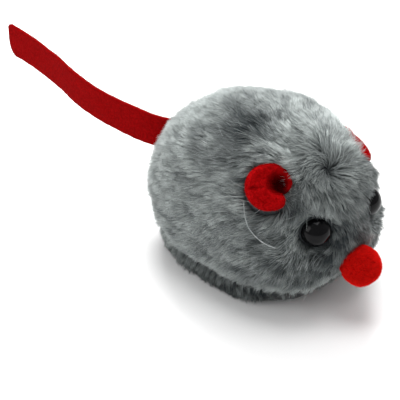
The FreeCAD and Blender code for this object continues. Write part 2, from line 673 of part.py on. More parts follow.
along_y = FreeCAD.Rotation(V(1, 0, 0), -90)
holes = [cyl("key_hole%d" % i, s("key_hole_r"), 6.0, (s("key_x") + s("key_tip_x")) / 2 + 0.3, s("great_y") - 3.0,
             s("great_z") + s("key_hole_off") * sx, along_y) for i, sx in enumerate((1, -1))]
key = cut("winding_key", kfull, kbore, *holes)
place(key)
piece(key, "winding_key")


# ====================================================================== plush
def ring(z, a, y0, y1, power):
    """A closed smooth section of the plush body at height z."""
    cy, b2 = (y0 + y1) / 2, (y1 - y0) / 2
    pts = []
    for i in range(28):
        t = 2 * math.pi * i / 28
        ct, st = math.cos(t), math.sin(t)
        pts.append(V(a * math.copysign(abs(ct) ** (2 / power), ct), cy + b2 * math.copysign(abs(st) ** (2 / power), st), z))
    curve = Part.BSplineCurve()
    curve.interpolate(Points=pts, PeriodicFlag=True)
    return Part.Wire([curve.toShape()])


# height, half width, front, rear, squareness of the section
BODY = [
    (9.0, 24.4, -36.2, 26.6, 2.5),
    (12.5, 25.8, -39.8, 28.8, 2.45),
    (17.0, 26.8, -42.7, 30.8, 2.4),
    (24.0, 27.5, -44.2, 32.0, 2.3),
    (31.0, 27.3, -43.8, 31.6, 2.25),
    (38.0, 25.6, -41.8, 28.8, 2.2),
    (44.0, 22.6, -39.2, 24.0, 2.2),
    (49.0, 18.6, -36.2, 17.4, 2.15),
    (53.0, 13.4, -32.4, 9.6, 2.1),
    (55.4, 8.0, -28.4, 1.0, 2.05),
    (56.4, 3.4, -24.6, -6.0, 2.0),
]


def plush(inset, base):
    rings = []
    for z, a, y0, y1, power in BODY:
        k = inset
        if a - k < 2.5:
            continue
        zz = base if z == BODY[0][0] else z - k * max(0.0, (z - 24.0) / 32.4) ** 1.5
        rings.append(ring(zz, a - k, y0 + k, y1 - k, power))
    return Part.makeLoft(rings, True, False)


skin_full = feature("skin_full", plush(0.0, n("fur_base_z")))
hollow = feature("skin_hollow", plush(n("fur_wall"), n("fur_base_z") - 0.0))
print("plush volume", round(skin_full.Shape.Volume), "hollow", round(hollow.Shape.Volume))


def toward(v):
    """The rotation that takes +Z to the direction v."""
    return FreeCAD.Rotation(V(0, 0, 1), v)


EYE_N = V(0.60, -0.80, 0.05).normalize()
EAR_N = V(0.50, -0.42, 0.76).normalize()
EYES, WASHERS, EARS, WELLS, BOSSES = [], [], [], [], []
for sx, side_name in ((1, "left"), (-1, "right")):
    nrm = V(EYE_N.x * sx, EYE_N.y, EYE_N.z)
    rot = toward(nrm)
    # a glossy dome on a short flange, with a ribbed post behind it
    r, hgt, rim = n("eye_r"), n("eye_dome"), n("eye_rim")
    big = (r * r + hgt * hgt) / (2 * hgt)
    dome = Part.makeSphere(big, V(0, 0, hgt - big)).common(Part.makeCylinder(r, hgt + 1, V(0, 0, 0)))
    flange = Part.makeCylinder(r, rim, V(0, 0, -rim))
    post = Part.makeCylinder(n("eye_post_r"), n("eye_post"), V(0, 0, -rim - n("eye_post")))
    eye = feature("eye_" + side_name, dome.fuse([flange, post]).removeSplitter())
    spot(eye, s("eye_x") * sx, s("eye_y"), s("eye_z"), rot)
    EYES.append(eye)
    wash = Part.makeCylinder(n("washer_r"), n("washer_t"), V(0, 0, -n("washer_depth")))
    wash = wash.cut(Part.makeCylinder(n("eye_post_r"), 20, V(0, 0, -12)))
    washer = feature("eye_washer_" + side_name, wash)
    spot(washer, s("eye_x") * sx, s("eye_y"), s("eye_z"), rot)
    WASHERS.append(washer)
    # the pile parts round the eye, which sits down on the backing
    well = cyl("eye_well_" + side_name, s("eye_well_r"), 12.0)
    lift = -n("eye_rim")
    spot(well, s("eye_x") * sx + lift * nrm.x, s("eye_y") + lift * nrm.y, s("eye_z") + lift * nrm.z, rot)
    WELLS.append(well)
    boss = cyl("eye_boss_" + side_name, s("eye_well_r") + 1.3, 14.0)
    drop = -n("eye_rim") - n("boss_t")
    spot(boss, s("eye_x") * sx + drop * nrm.x, s("eye_y") + drop * nrm.y, s("eye_z") + drop * nrm.z, rot)
    BOSSES.append(boss)
    # the ear is a felt disc drawn up into a shallow cup, folded in at the front
    er, et, deep = n("ear_r"), n("ear_t"), n("ear_deep")
    ball_r = (er * er + deep * deep) / (2 * deep)
    cup = Part.makeSphere(ball_r, V(0, 0, ball_r)).cut(Part.makeSphere(ball_r - et, V(0, 0, ball_r)))
    cup = cup.common(Part.makeCylinder(er + 1, deep - n("ear_foot"), V(0, 0, n("ear_foot"))))
    ear_rot = toward(V(EAR_N.x * sx, EAR_N.y, EAR_N.z))
    fold = ear_rot.inverted().multVec(V(0.10 * sx, -0.86, -0.50))
    fold.z = 0
    fold.normalize()
    side = V(-fold.y, fold.x, 0)
    tip_in, far_a, far_b = fold * 3.4, fold * (er + 3) + side * 2.6, fold * (er + 3) - side * 2.6
    wedge = Part.Face(Part.makePolygon([tip_in, far_a, far_b, tip_in])).extrude(V(0, 0, 12))
    wedge.translate(V(0, 0, -1))
    ear = feature("ear_cup_" + side_name, cup.cut(wedge))
    spot(ear, s("ear_x") * sx, s("ear_y"), s("ear_z"), ear_rot)
    EARS.append(ear)
    ear_n = V(EAR_N.x * sx, EAR_N.y, EAR_N.z)
    for store, label, more, start in ((WELLS, "ear_well_", 0.4, n("ear_foot")), (BOSSES, "ear_boss_", 1.6, n("ear_foot") - n("boss_t"))):
        round_cut = cyl(label + side_name, s("ear_r") + more, 16.0)
        spot(round_cut, s("ear_x") * sx + start * ear_n.x, s("ear_y") + start * ear_n.y, s("ear_z") + start * ear_n.z, ear_rot)
        store.append(round_cut)
doc.recompute()

key_recess = cyl("key_recess", s("key_recess_r"), 12.0, s("eyelet_x") + s("eyelet_t"), s("great_y"), s("great_z"), ALONG_X)
key_seat = cyl("key_seat", s("eyelet_r"), 12.0, s("eyelet_x"), s("great_y"), s("great_z"), ALONG_X)
key_way = cyl("key_way", s("tunnel_r"), 24.0, s("pocket_w") / 2 - 4.0, s("great_y"), s("great_z"), ALONG_X)
# the backing dips in under each eye and ear
inside = cut("skin_inside", hollow, *BOSSES)
wheel_room = box("wheel_room", s("pocket_w"), s("pocket_len"), s("pocket_top"),
                 -s("pocket_w") / 2, s("tray_y") - s("pocket_len") / 2 - 0.6, 0.0)
shell = cut("fur_body", skin_full, inside, wheel_room, key_recess, key_seat, key_way, EYES[0], EYES[1], *WELLS)

key_way2 = cyl("key_way2", s("tunnel_r"), 24.0, s("pocket_w") / 2 - 4.0, s("great_y"), s("great_z"), ALONG_X)
hollow2 = feature("stuffing_block", plush(n("fur_wall"), n("fur_base_z")))
motor_room = box("motor_room", s("pocket_w"), s("pocket_len"), s("pocket_top"),
                 -s("pocket_w") / 2, s("tray_y") - s("pocket_len") / 2 - 0.6, 0.0)
key_room = cyl("key_room", s("eyelet_r"), 12.0, s("eyelet_x"), s("great_y"), s("great_z"), ALONG_X)
bosses2 = [feature("dip%d" % i, b.Shape) for i, b in enumerate(BOSSES)]
fill = cut("stuffing", hollow2, motor_room, key_way2, key_room, EYES[0], EYES[1], WASHERS[0], WASHERS[1], *bosses2)

ball = doc.addObject("Part::Sphere", "nose_ball")
bind(ball, "Radius", s("nose_r"))
spot(ball, 0.0, s("nose_y"), s("nose_z"))
nose = cut("nose", ball, skin_full)

eyelet = cut("key_eyelet", cyl("eyelet_disc", s("eyelet_r"), s("eyelet_t"), s("eyelet_x"), s("great_y"), s("great_z"), ALONG_X),
             cyl("eyelet_hole", s("eyelet_hole_r"), 6.0, s("eyelet_x") - 2.0, s("great_y"), s("great_z"), ALONG_X))

# hem: the band of plush that hangs round the chassis to just above the floor
hem_out = Part.Face(ring(n("hem_z"), n("hem_w"), n("hem_y") - n("hem_len") / 2, n("hem_y") + n("hem_len") / 2, 2.7))
hem_block = feature("hem_block", hem_out.extrude(V(0, 0, n("fur_base_z") - n("hem_z"))))
tray_room = body("hem_inside")
sk = sketch(tray_room, "hem_inside_outline")
rect(sk, -half_w, s("tray_y") - half_l, half_w, s("tray_y") + half_l)
block = pad(tray_room, sk, "hem_inside_block", 20.0)
round_uprights(tray_room, block, "hem_inside_corners", c, 0.0, 20.0, half_w.v)
hem = cut("fur_hem", hem_block, tray_room)

# ======================================================================= tail
# a felt strip standing on its edge; its plan is straight runs and tangent arcs
PLAN = [(-4.6, 26.0), (-8.7, 38.5), (-10.5, 55.0), (-9.8, 69.0), (-7.2, 82.5), (-5.3, 96.0), (-4.8, 110.1)]


def strip(plan, half):
    pts = [V(x, y, 0) for x, y in plan]
    left, right = [], []
    runs = [(pts[i + 1] - pts[i]).Length for i in range(len(pts) - 1)]
    dirs = [(pts[i + 1] - pts[i]).normalize() for i in range(len(pts) - 1)]
    side_of = lambda d: V(-d.y, d.x, 0)
    at = pts[0]
    length, radii = 0.0, []
    for i in range(1, len(pts) - 1):
        turn = dirs[i - 1].cross(dirs[i]).z
        angle = math.asin(max(-1.0, min(1.0, turn)))
        reach = 0.45 * min(runs[i - 1], runs[i])
        radius = reach / math.tan(abs(angle) / 2)
        radii.append(radius)
        a, b2 = pts[i] - dirs[i - 1] * reach, pts[i] + dirs[i] * reach
        nrm = side_of(dirs[i - 1]) * (1 if angle > 0 else -1)
        centre = a + nrm * radius
        mid_dir = ((a - centre).normalize() + (b2 - centre).normalize()).normalize()
        for off, store in ((half, left), (-half, right)):
            o = side_of(dirs[i - 1]) * off
            store.append(Part.LineSegment(at + o, a + o).toShape())
            rad = radius - off * (1 if angle > 0 else -1)
            e = side_of(dirs[i]) * off
            store.append(Part.Arc(a + o, centre + mid_dir * rad, b2 + e).toShape())
        length += (a - at).Length + radius * abs(angle)
        at = b2
    for off, store in ((half, left), (-half, right)):
        o = side_of(dirs[-1]) * off
        store.append(Part.LineSegment(at + o, pts[-1] + o).toShape())
    length += (pts[-1] - at).Length
    o0, o1 = side_of(dirs[0]) * half, side_of(dirs[-1]) * half
    loop = left + [Part.LineSegment(pts[-1] + o1, pts[-1] - o1).toShape()] + right + [Part.LineSegment(pts[0] - o0, pts[0] + o0).toShape()]
    return Part.Face(Part.Wire(Part.__sortEdges__(loop))), length, radii


face, tail_len, radii = strip(PLAN, n("tail_t") / 2)
band = face.extrude(V(0, 0, n("tail_w")))
print("tail length", round(tail_len, 1), "radii", [round(r, 1) for r in radii],
      "volume", round(band.Volume, 1), "section x length", round(n("tail_t") * n("tail_w") * tail_len, 1))
band = feature("tail_band", band)
spot(band, 0.0, 0.0, s("tail_z") - s("tail_w") / 2)
doc.recompute()
soft = doc.addObject("Part::Fillet", "tail_round")
soft.Base = band
edges = []
for i, e in enumerate(band.Shape.Edges, start=1):
    box_e = e.BoundBox
    if box_e.YMin > PLAN[-1][1] - 0.4 and box_e.XLength > 0.8 and box_e.ZLength < 1e-6:
        edges.append((i, n("tail_corner"), n("tail_corner")))
soft.Edges = edges
tail = cut("tail", soft, skin_full)

for obj, label in ((eyelet, "key_eyelet"), (fill, "stuffing"), (shell, "fur_body"), (hem, "fur_hem"),
                   (nose, "nose"), (tail, "tail")):
    piece(obj, label)
doc.recompute()
# booleans and drawn solids are moved from the mouse's datum as a whole; the
# ears, eyes and washers were drawn where they sit and are copied so the cuts stay put
for obj in (eyelet, fill, shell, hem, nose, tail):
    place(obj)
for src, label in ((EARS[0], "ear_left"), (EARS[1], "ear_right"), (EYES[0], "eye_left"), (EYES[1], "eye_right"),
                   (WASHERS[0], "eye_washer_left"), (WASHERS[1], "eye_washer_right")):
    src.Label = label + "_tool"
    moved = doc.addObject("Part::Compound", label + "_piece")
    moved.Links = [src]
    place(moved)
    piece(moved, label)
doc.recompute()

# ------------------------------------------------------------ check and write
for obj in doc.Objects:
    bad = [x for x in obj.State if x in ("Invalid", "Error")]
    if bad:
        raise RuntimeError("%s is %s" % (obj.Label, bad))
names = set()
for obj in PIECES:
    shape = obj.Shape
    if shape.isNull() or not shape.isValid() or not shape.Solids:
        raise RuntimeError("%s has no valid solid" % obj.Label)
    if obj.Label in names:
        raise RuntimeError("two pieces are called %s" % obj.Label)
    names.add(obj.Label)
    out = shape if len(shape.Solids) == 1 and shape.ShapeType == "Solid" else (
        shape.Solids[0] if len(shape.Solids) == 1 else Part.makeCompound(shape.Solids))
    out.exportStep("parts/%s.step" % obj.Label)
    bb = shape.BoundBox
    print("%-20s solids %2d  vol %9.2f  x %.2f %.2f  y %.2f %.2f  z %.2f %.2f" % (
        obj.Label, len(shape.Solids), sum(x.Volume for x in shape.Solids),
        bb.XMin, bb.XMax, bb.YMin, bb.YMax, bb.ZMin, bb.ZMax))
print(len(PIECES), "pieces")
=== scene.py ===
import json
import math

import bpy
import numpy as np
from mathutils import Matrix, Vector
from mathutils.kdtree import KDTree


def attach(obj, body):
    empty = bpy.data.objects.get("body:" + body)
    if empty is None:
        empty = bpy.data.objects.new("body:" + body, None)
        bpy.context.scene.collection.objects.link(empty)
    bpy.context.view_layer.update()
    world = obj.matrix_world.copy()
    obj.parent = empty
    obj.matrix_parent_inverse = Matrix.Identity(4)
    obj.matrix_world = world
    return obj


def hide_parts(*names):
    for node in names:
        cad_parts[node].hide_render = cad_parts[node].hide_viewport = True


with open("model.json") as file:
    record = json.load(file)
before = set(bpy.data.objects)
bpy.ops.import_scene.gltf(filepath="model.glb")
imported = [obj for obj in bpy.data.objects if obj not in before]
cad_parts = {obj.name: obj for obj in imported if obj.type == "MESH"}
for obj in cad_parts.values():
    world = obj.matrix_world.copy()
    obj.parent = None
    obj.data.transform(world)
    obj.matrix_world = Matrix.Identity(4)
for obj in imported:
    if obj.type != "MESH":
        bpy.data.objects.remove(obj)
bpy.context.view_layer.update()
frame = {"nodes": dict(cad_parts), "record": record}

# The toy is drawn in millimetres about the mouse's own middle plane and datum,
# as the CAD is, and moved by MID.  The mouse faces -Y, +X is its left.
MID = np.array([-1.75, -30.0, 0.0])
RNG = np.random.default_rng(611)


def to_row(p):
    return (np.asarray(p, dtype=float) + MID) / 1000.0


# ------------------------------------------------------------------ camera
cam_data = bpy.data.cameras.new("camera")
cam_data.sensor_width = 36.0
cam_data.lens = 133.0
cam_data.clip_start = 0.01
cam = bpy.data.objects.new("camera", cam_data)
bpy.context.scene.collection.objects.link(cam)
cam_at = to_row([-260.9, -255.3, 274.9])
cam_to = to_row([-13.9, 7.86, 20.4])
cam.location = cam_at
cam.rotation_euler = Vector(cam_to - cam_at).to_track_quat("-Z", "Y").to_euler()
bpy.context.scene.camera = cam


# --------------------------------------------------------------- noise tools
def hash3(ix, iy, iz, seed):
    v = (ix * 374761393 + iy * 668265263 + iz * 2147483647 + seed * 974634777) & 0xFFFFFFFF
    v = ((v ^ (v >> 13)) * 1274126177) & 0xFFFFFFFF
    v = v ^ (v >> 16)
    return (v & 0xFFFFFF) / float(0xFFFFFF)


def noise(p, scale, seed=0):
    """Smooth value noise from 0 to 1 at the points p, with features of that size."""
    q = np.asarray(p) / scale + 1000.0
    i = np.floor(q).astype(np.int64)
    f = q - i
    f = f * f * (3 - 2 * f)
    out = np.zeros(len(q))
    for dx in (0, 1):
        for dy in (0, 1):
            for dz in (0, 1):
                w = (f[:, 0] if dx else 1 - f[:, 0]) * (f[:, 1] if dy else 1 - f[:, 1]) * (f[:, 2] if dz else 1 - f[:, 2])
                out += w * hash3(i[:, 0] + dx, i[:, 1] + dy, i[:, 2] + dz, seed)
    return out


def fbm(p, scale, seed=0, octaves=3):
    out, amp, total = 0.0, 1.0, 0.0
    for k in range(octaves):
        out = out + amp * noise(p, scale / (2.0 ** k), seed + 17 * k)
        total += amp
        amp *= 0.55
    return out / total


def smooth(a, b, x):
    t = np.clip((x - a) / (b - a), 0, 1)
    return t * t * (3 - 2 * t)


def unit(v):
    return v / np.maximum(np.linalg.norm(v, axis=-1, keepdims=True), 1e-9)


# ------------------------------------------------------------- mesh builders
def new_object(name, mesh, body="chassis"):
    o = bpy.data.objects.new(name, mesh)
    bpy.context.scene.collection.objects.link(o)
    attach(o, body)
    return o


def raw_mesh(name, verts, faces_flat, starts, smooth_shade=True):
    """A mesh from numpy arrays: vertices in mm, loops as one list, and where each face starts."""
    me = bpy.data.meshes.new(name)
    me.vertices.add(len(verts))
    me.vertices.foreach_set("co", to_row(verts).astype(np.float32).ravel())
    me.loops.add(len(faces_flat))
    me.loops.foreach_set("vertex_index", faces_flat.astype(np.int32))
    me.polygons.add(len(starts))
    me.polygons.foreach_set("loop_start", starts.astype(np.int32))
    me.update(calc_edges=True)
    if smooth_shade:
        me.polygons.foreach_set("use_smooth", np.ones(len(starts), dtype=bool))
    me.validate()
    return me


def grid_mesh(name, pts, close_u=True, cap_low=None, cap_high=None):
    """Quads over a grid of points (rows, columns, 3), closed round the columns."""
    nv, nu = pts.shape[:2]
    verts = [tuple(p) for p in to_row(pts.reshape(-1, 3))]
    faces = []
    for i in range(nv - 1):
        for j in range(nu if close_u else nu - 1):
            k = (j + 1) % nu
            faces.append((i * nu + j, i * nu + k, (i + 1) * nu + k, (i + 1) * nu + j))
    if cap_low is not None:
        verts.append(tuple(to_row(cap_low)))
        faces += [((j + 1) % nu, j, len(verts) - 1) for j in range(nu)]
    if cap_high is not None:
        verts.append(tuple(to_row(cap_high)))
        base = (nv - 1) * nu
        faces += [(base + j, base + (j + 1) % nu, len(verts) - 1) for j in range(nu)]
    me = bpy.data.meshes.new(name)
    me.from_pydata(verts, [], faces)
    me.polygons.foreach_set("use_smooth", np.ones(len(me.polygons), dtype=bool))
    me.update()
    return me


# ----------------------------------------------------------- the plush shape
# height, half width, front, rear, squareness
BODY = np.array([
    (7.6, 21.4, -33.4, 23.6, 2.5),
    (8.3, 23.2, -35.2, 25.4, 2.5),
    (9.6, 24.5, -36.8, 27.0, 2.5),
    (12.5, 25.8, -39.8, 28.8, 2.45),
    (17.0, 26.8, -42.7, 30.8, 2.4),
    (24.0, 27.5, -44.2, 32.0, 2.3),
    (31.0, 27.3, -43.8, 31.6, 2.25),
    (38.0, 25.6, -41.8, 28.8, 2.2),
    (44.0, 22.6, -39.2, 24.0, 2.2),
    (49.0, 18.6, -36.2, 17.4, 2.15),
    (53.0, 13.4, -32.4, 9.6, 2.1),
    (55.4, 8.0, -28.4, 1.0, 2.05),
    (56.4, 3.4, -24.6, -6.0, 2.0),
    (56.7, 0.12, -16.0, -14.8, 2.0),
])


# the brushed pile lies flatter on the upper half, so its outline sits inside the sewn shape
FLAT = 1.8 * (lambda u: u * u * (3 - 2 * u))(np.clip((BODY[:, 0] - 22.0) / 22.0, 0, 1))
FLAT[-1] = 0.0
BODY[:, 1] -= 0.9 * np.minimum(FLAT, BODY[:, 1] * 0.4)
BODY[:, 2] += 0.9 * FLAT
BODY[:, 3] -= FLAT
BODY[:, 0] -= 1.0 * (lambda u: u * u * (3 - 2 * u))(np.clip((BODY[:, 0] - 40.0) / 16.0, 0, 1))


def hermite(x, y, q):
    """A smooth curve through y at x, read at q, without overshoot."""
    d = np.diff(y) / np.diff(x)
    m = np.zeros_like(y)
    m[1:-1] = np.where(d[:-1] * d[1:] > 0, 2 * d[:-1] * d[1:] / (d[:-1] + d[1:] + 1e-12), 0)
    m[0], m[-1] = d[0], d[-1]
    i = np.clip(np.searchsorted(x, q) - 1, 0, len(x) - 2)
    h = x[i + 1] - x[i]
    t = (q - x[i]) / h
    return ((2 * t**3 - 3 * t**2 + 1) * y[i] + (t**3 - 2 * t**2 + t) * h * m[i]
            + (-2 * t**3 + 3 * t**2) * y[i + 1] + (t**3 - t**2) * h * m[i + 1])


def body_grid(nu, nv):
    """Points on the plush's outline surface (rows from the belly up)."""
    # rows are spaced by arc length down the side
    zz = np.linspace(BODY[0, 0], BODY[-1, 0], 600)
    side = np.stack([hermite(BODY[:, 0], BODY[:, 1], zz), zz], 1)
    s = np.concatenate([[0], np.cumsum(np.linalg.norm(np.diff(side, axis=0), axis=1))])
    z = np.interp(np.linspace(0, s[-1], nv), s, zz)
    a, y0, y1, power = (hermite(BODY[:, 0], BODY[:, k], z) for k in (1, 2, 3, 4))
    t = np.linspace(0, 2 * np.pi, nu, endpoint=False)
    ct, st = np.cos(t), np.sin(t)
    pts = np.zeros((nv, nu, 3))
    e = (2 / power)[:, None]
    pts[..., 0] = a[:, None] * np.sign(ct) * np.abs(ct) ** e
    pts[..., 1] = ((y0 + y1) / 2)[:, None] + ((y1 - y0) / 2)[:, None] * np.sign(st) * np.abs(st) ** e
    pts[..., 2] = z[:, None]
    return pts


def grid_normals(pts):
    du = np.roll(pts, -1, axis=1) - np.roll(pts, 1, axis=1)
    dv = np.gradient(pts, axis=0)
    return unit(np.cross(du, dv))


def sample_grid(pts, nrm, count, weight=None, close_u=True):
    """Random points spread evenly over a grid surface, with their normals."""
    nv, nu = pts.shape[:2]
    j1 = (np.arange(nu) + 1) % nu if close_u else np.arange(nu - 1) + 1
    cols = np.arange(nu) if close_u else np.arange(nu - 1)
    p00, p10 = pts[:-1][:, cols], pts[1:][:, cols]
    p01, p11 = pts[:-1][:, j1], pts[1:][:, j1]
    area = (np.linalg.norm(np.cross(p10 - p00, p01 - p00), axis=-1) + np.linalg.norm(np.cross(p10 - p11, p01 - p11), axis=-1)) / 2
    if weight is not None:
        area = area * weight(((p00 + p11) / 2).reshape(-1, 3)).reshape(area.shape)
    cum = np.cumsum(area.ravel())
    pick = np.searchsorted(cum, RNG.random(count) * cum[-1])
    i, j = np.unravel_index(pick, area.shape)
    u, v = RNG.random((count, 1)), RNG.random((count, 1))
    ja, jb = cols[j], j1[j]

    def mix(f):
        return (f[i, ja] * (1 - u) * (1 - v) + f[i, jb] * u * (1 - v) + f[i + 1, ja] * (1 - u) * v + f[i + 1, jb] * u * v)

    return mix(pts), unit(mix(nrm))


# ---------------------------------------------------------------- fur maker
RINGS = np.array([0.0, 0.34, 0.68])


def strands(name, root, nrm, flow, length, lift, thick, c_root, c_tip, clump=None, keep=0.5,
            curl=0.10, mat=None, tip_power=1.0, per_piece=12500, rise_bend=0.35):
    """Closed tapered fibres, each a three-sided spike bent along the flow, in pieces
    small enough to keep whole.  Colours run from c_root to c_tip along the fibre."""
    count = len(root)
    length, lift, thick = (np.broadcast_to(np.asarray(x, dtype=float), (count,)) for x in (length, lift, thick))
    flow = unit(flow - nrm * np.sum(flow * nrm, axis=1, keepdims=True))
    side = np.cross(nrm, flow)
    lift_a = np.sin(lift)[:, None]
    lean = np.cos(lift)[:, None]
    wob = RNG.normal(0, curl, (count, 1))

    def along(s):
        out = nrm * (lift_a * s * (1 + rise_bend) - rise_bend * lift_a * s * s * 1.0)
        fwd = flow * lean * (0.72 * s + 0.28 * s * s)
        return root + length[:, None] * (out + fwd + side * wob * s * s)

    ctrl = [along(s) for s in (0.0, 0.34, 0.68, 1.0)]
    if clump is not None:
        # each fibre is drawn towards its tuft's leader, more so at its tip
        for k, s in ((1, 0.34), (2, 0.68), (3, 1.0)):
            lead = ctrl[k][clump] - root[clump]
            near = root[clump] - root
            target = root + near * 0.9 + lead
            w = (keep * s ** 1.4)
            w = w[:, None] if np.ndim(w) else w
            ctrl[k] = ctrl[k] * (1 - w) + target * w
    pieces = []
    made = 0
    for part, lo in enumerate(range(0, count, per_piece)):
        hi = min(count, lo + per_piece)
        m = hi - lo
        verts = np.zeros((m, 10, 3))
        for k in range(3):
            axis = unit(ctrl[k + 1][lo:hi] - ctrl[k][lo:hi])
            e1 = unit(np.cross(axis, nrm[lo:hi] + 1e-4))
            e2 = np.cross(axis, e1)
            r = thick[lo:hi, None] * (1.0, 0.86, 0.55)[k]
            for q in range(3):
                a = 2 * math.pi * q / 3 + 0.5
                verts[:, 3 * k + q] = ctrl[k][lo:hi] + r * (e1 * math.cos(a) + e2 * math.sin(a))
        verts[:, 9] = ctrl[3][lo:hi]
        tri = []
        for k in range(2):
            for q in range(3):
                a, b = 3 * k + q, 3 * k + (q + 1) % 3
                tri += [(a, b, b + 3), (a, b + 3, a + 3)]
        for q in range(3):
            tri.append((6 + q, 6 + (q + 1) % 3, 9))
        tri.append((2, 1, 0))
        tri = np.array(tri)
        faces = (tri[None] + 10 * np.arange(m)[:, None, None]).reshape(-1)
        starts = np.arange(0, len(faces), 3)
        me = raw_mesh("%s_%d" % (name, part), verts.reshape(-1, 3), faces, starts)
        s = np.array([0, 0, 0, .34, .34, .34, .68, .68, .68, 1.0]) ** tip_power
        col = c_root[lo:hi, None, :] * (1 - s[None, :, None]) + c_tip[lo:hi, None, :] * s[None, :, None]
        rgba = np.concatenate([np.clip(col, 0, 1), np.ones((m, 10, 1))], axis=2).astype(np.float32)
        att = me.color_attributes.new("fibre", "FLOAT_COLOR", "POINT")
        att.data.foreach_set("color", rgba.ravel())
        # one small cell of the map for each fibre, its length up the cell
        cells = int(math.ceil(math.sqrt(m)))
        cx, cy = (np.arange(m) % cells) / cells, (np.arange(m) // cells) / cells
        du = np.array([.3, .5, .7] * 3 + [.5]) / cells
        dv = (0.12 + 0.76 * np.array([0, 0, 0, .34, .34, .34, .68, .68, .68, 1.0])) / cells
        uv = np.stack([cx[:, None] + du[None], cy[:, None] + dv[None]], -1).reshape(-1, 2)
        layer = me.uv_layers.new(name="OFBake")
        layer.data.foreach_set("uv", uv[faces].astype(np.float32).ravel())
        if mat:
            me.materials.append(mat)
        o = new_object("%s_%d" % (name, part), me)
        pieces.append(o)
        made += m
    return pieces


def tufts(root, nrm, flow, size, seed):
    """For each fibre, the index of its tuft's leader."""
    rng = np.random.default_rng(seed)
    leaders = rng.choice(len(root), size=max(1, int(len(root) / size)), replace=False)
    tree = KDTree(len(leaders))
    for k, i in enumerate(leaders):
        tree.insert(root[i], k)
    tree.balance()
    jit = root + rng.normal(0, 0.35, root.shape)
    found = np.array([tree.find(p)[1] for p in jit])
    return leaders[found]


# ---------------------------------------------------------------- materials
def srgb(r, g, b):
    c = np.array([r, g, b]) / 255.0
    return np.where(c <= 0.04045, c / 12.92, ((c + 0.055) / 1.055) ** 2.4)


def nodes_of(mat):
    mat.use_nodes = True
    nt = mat.node_tree
    return nt, nt.nodes["Principled BSDF"]


def fibre_material(name, rough=0.6, spec=0.25, sheen=0.0):
    mat = bpy.data.materials.new(name)
    nt, b = nodes_of(mat)
    a = nt.nodes.new("ShaderNodeAttribute")
    a.attribute_name = "fibre"
    nt.links.new(a.outputs["Color"], b.inputs["Base Color"])
    b.inputs["Roughness"].default_value = rough
    b.inputs["Specular IOR Level"].default_value = spec
    b.inputs["Sheen Weight"].default_value = sheen
    return mat


def noise_colour(nt, b, dark, light, scale, detail=4.0, lo=0.35, hi=0.65, stretch=None, bump=0.0, bump_scale=None, distance=0.0002):
    tc = nt.nodes.new("ShaderNodeTexCoord")
    src = tc.outputs["Object"]
    if stretch:
        mp = nt.nodes.new("ShaderNodeMapping")
        mp.inputs["Scale"].default_value = stretch
        nt.links.new(src, mp.inputs["Vector"])
        src = mp.outputs["Vector"]
    n1 = nt.nodes.new("ShaderNodeTexNoise")
    n1.inputs["Scale"].default_value = scale
    n1.inputs["Detail"].default_value = detail
    nt.links.new(src, n1.inputs["Vector"])
    ramp = nt.nodes.new("ShaderNodeValToRGB")
    ramp.color_ramp.elements[0].position, ramp.color_ramp.elements[1].position = lo, hi
    ramp.color_ramp.elements[0].color = (*dark, 1)
    ramp.color_ramp.elements[1].color = (*light, 1)
    nt.links.new(n1.outputs["Fac"], ramp.inputs["Fac"])
    nt.links.new(ramp.outputs["Color"], b.inputs["Base Color"])
    if bump:
        n2 = nt.nodes.new("ShaderNodeTexNoise")
        n2.inputs["Scale"].default_value = bump_scale or scale * 4
        n2.inputs["Detail"].default_value = 6.0
        nt.links.new(src, n2.inputs["Vector"])
        bp = nt.nodes.new("ShaderNodeBump")
        bp.inputs["Strength"].default_value = bump
        bp.inputs["Distance"].default_value = distance
        nt.links.new(n2.outputs["Fac"], bp.inputs["Height"])
        nt.links.new(bp.outputs["Normal"], b.inputs["Normal"])
    return ramp


def surface(name, dark, light, scale, rough, metal=0.0, **kw):
    mat = bpy.data.materials.new(name)
    nt, b = nodes_of(mat)
    noise_colour(nt, b, dark, light, scale, **kw)
    b.inputs["Roughness"].default_value = rough
    b.inputs["Metallic"].default_value = metal
    return mat


FUR = fibre_material("plush_fibre", rough=0.6, spec=0.16)
FUZZ = fibre_material("felt_fibre", rough=0.95, spec=0.0)
BACKING = surface("plush_backing", srgb(38, 42, 45), srgb(62, 68, 70), 900, 0.9, bump=0.5)
# red felt, one cloth: the tail and ear copies below are painted darker as painted shade, and the nose copy paler as
# painted light, for how light falls on each part
FELT = surface("red_felt", srgb(150, 3, 3), srgb(196, 7, 6), 1500, 0.95, lo=0.3, hi=0.7, bump=0.55, bump_scale=5200, distance=0.0003)
TAIL_FELT_SHADED = surface("tail_felt_painted_shade", srgb(112, 3, 4), srgb(146, 6, 8), 1500, 0.95, lo=0.3, hi=0.7, bump=0.55, bump_scale=5200, distance=0.0003)
POM_FELT_LIT = surface("pompom_felt_painted_light", srgb(178, 8, 8), srgb(218, 14, 12), 1500, 0.95, lo=0.3, hi=0.7, bump=0.55, bump_scale=5200, distance=0.0003)
EAR_FELT_SHADED = surface("ear_felt_painted_shade", srgb(142, 5, 8), srgb(178, 10, 14), 1500, 0.95, lo=0.3, hi=0.7, bump=0.55, bump_scale=5200, distance=0.0003)
ent, eb = nodes_of(EAR_FELT_SHADED)
e_ramp = eb.inputs["Base Color"].links[0].from_socket
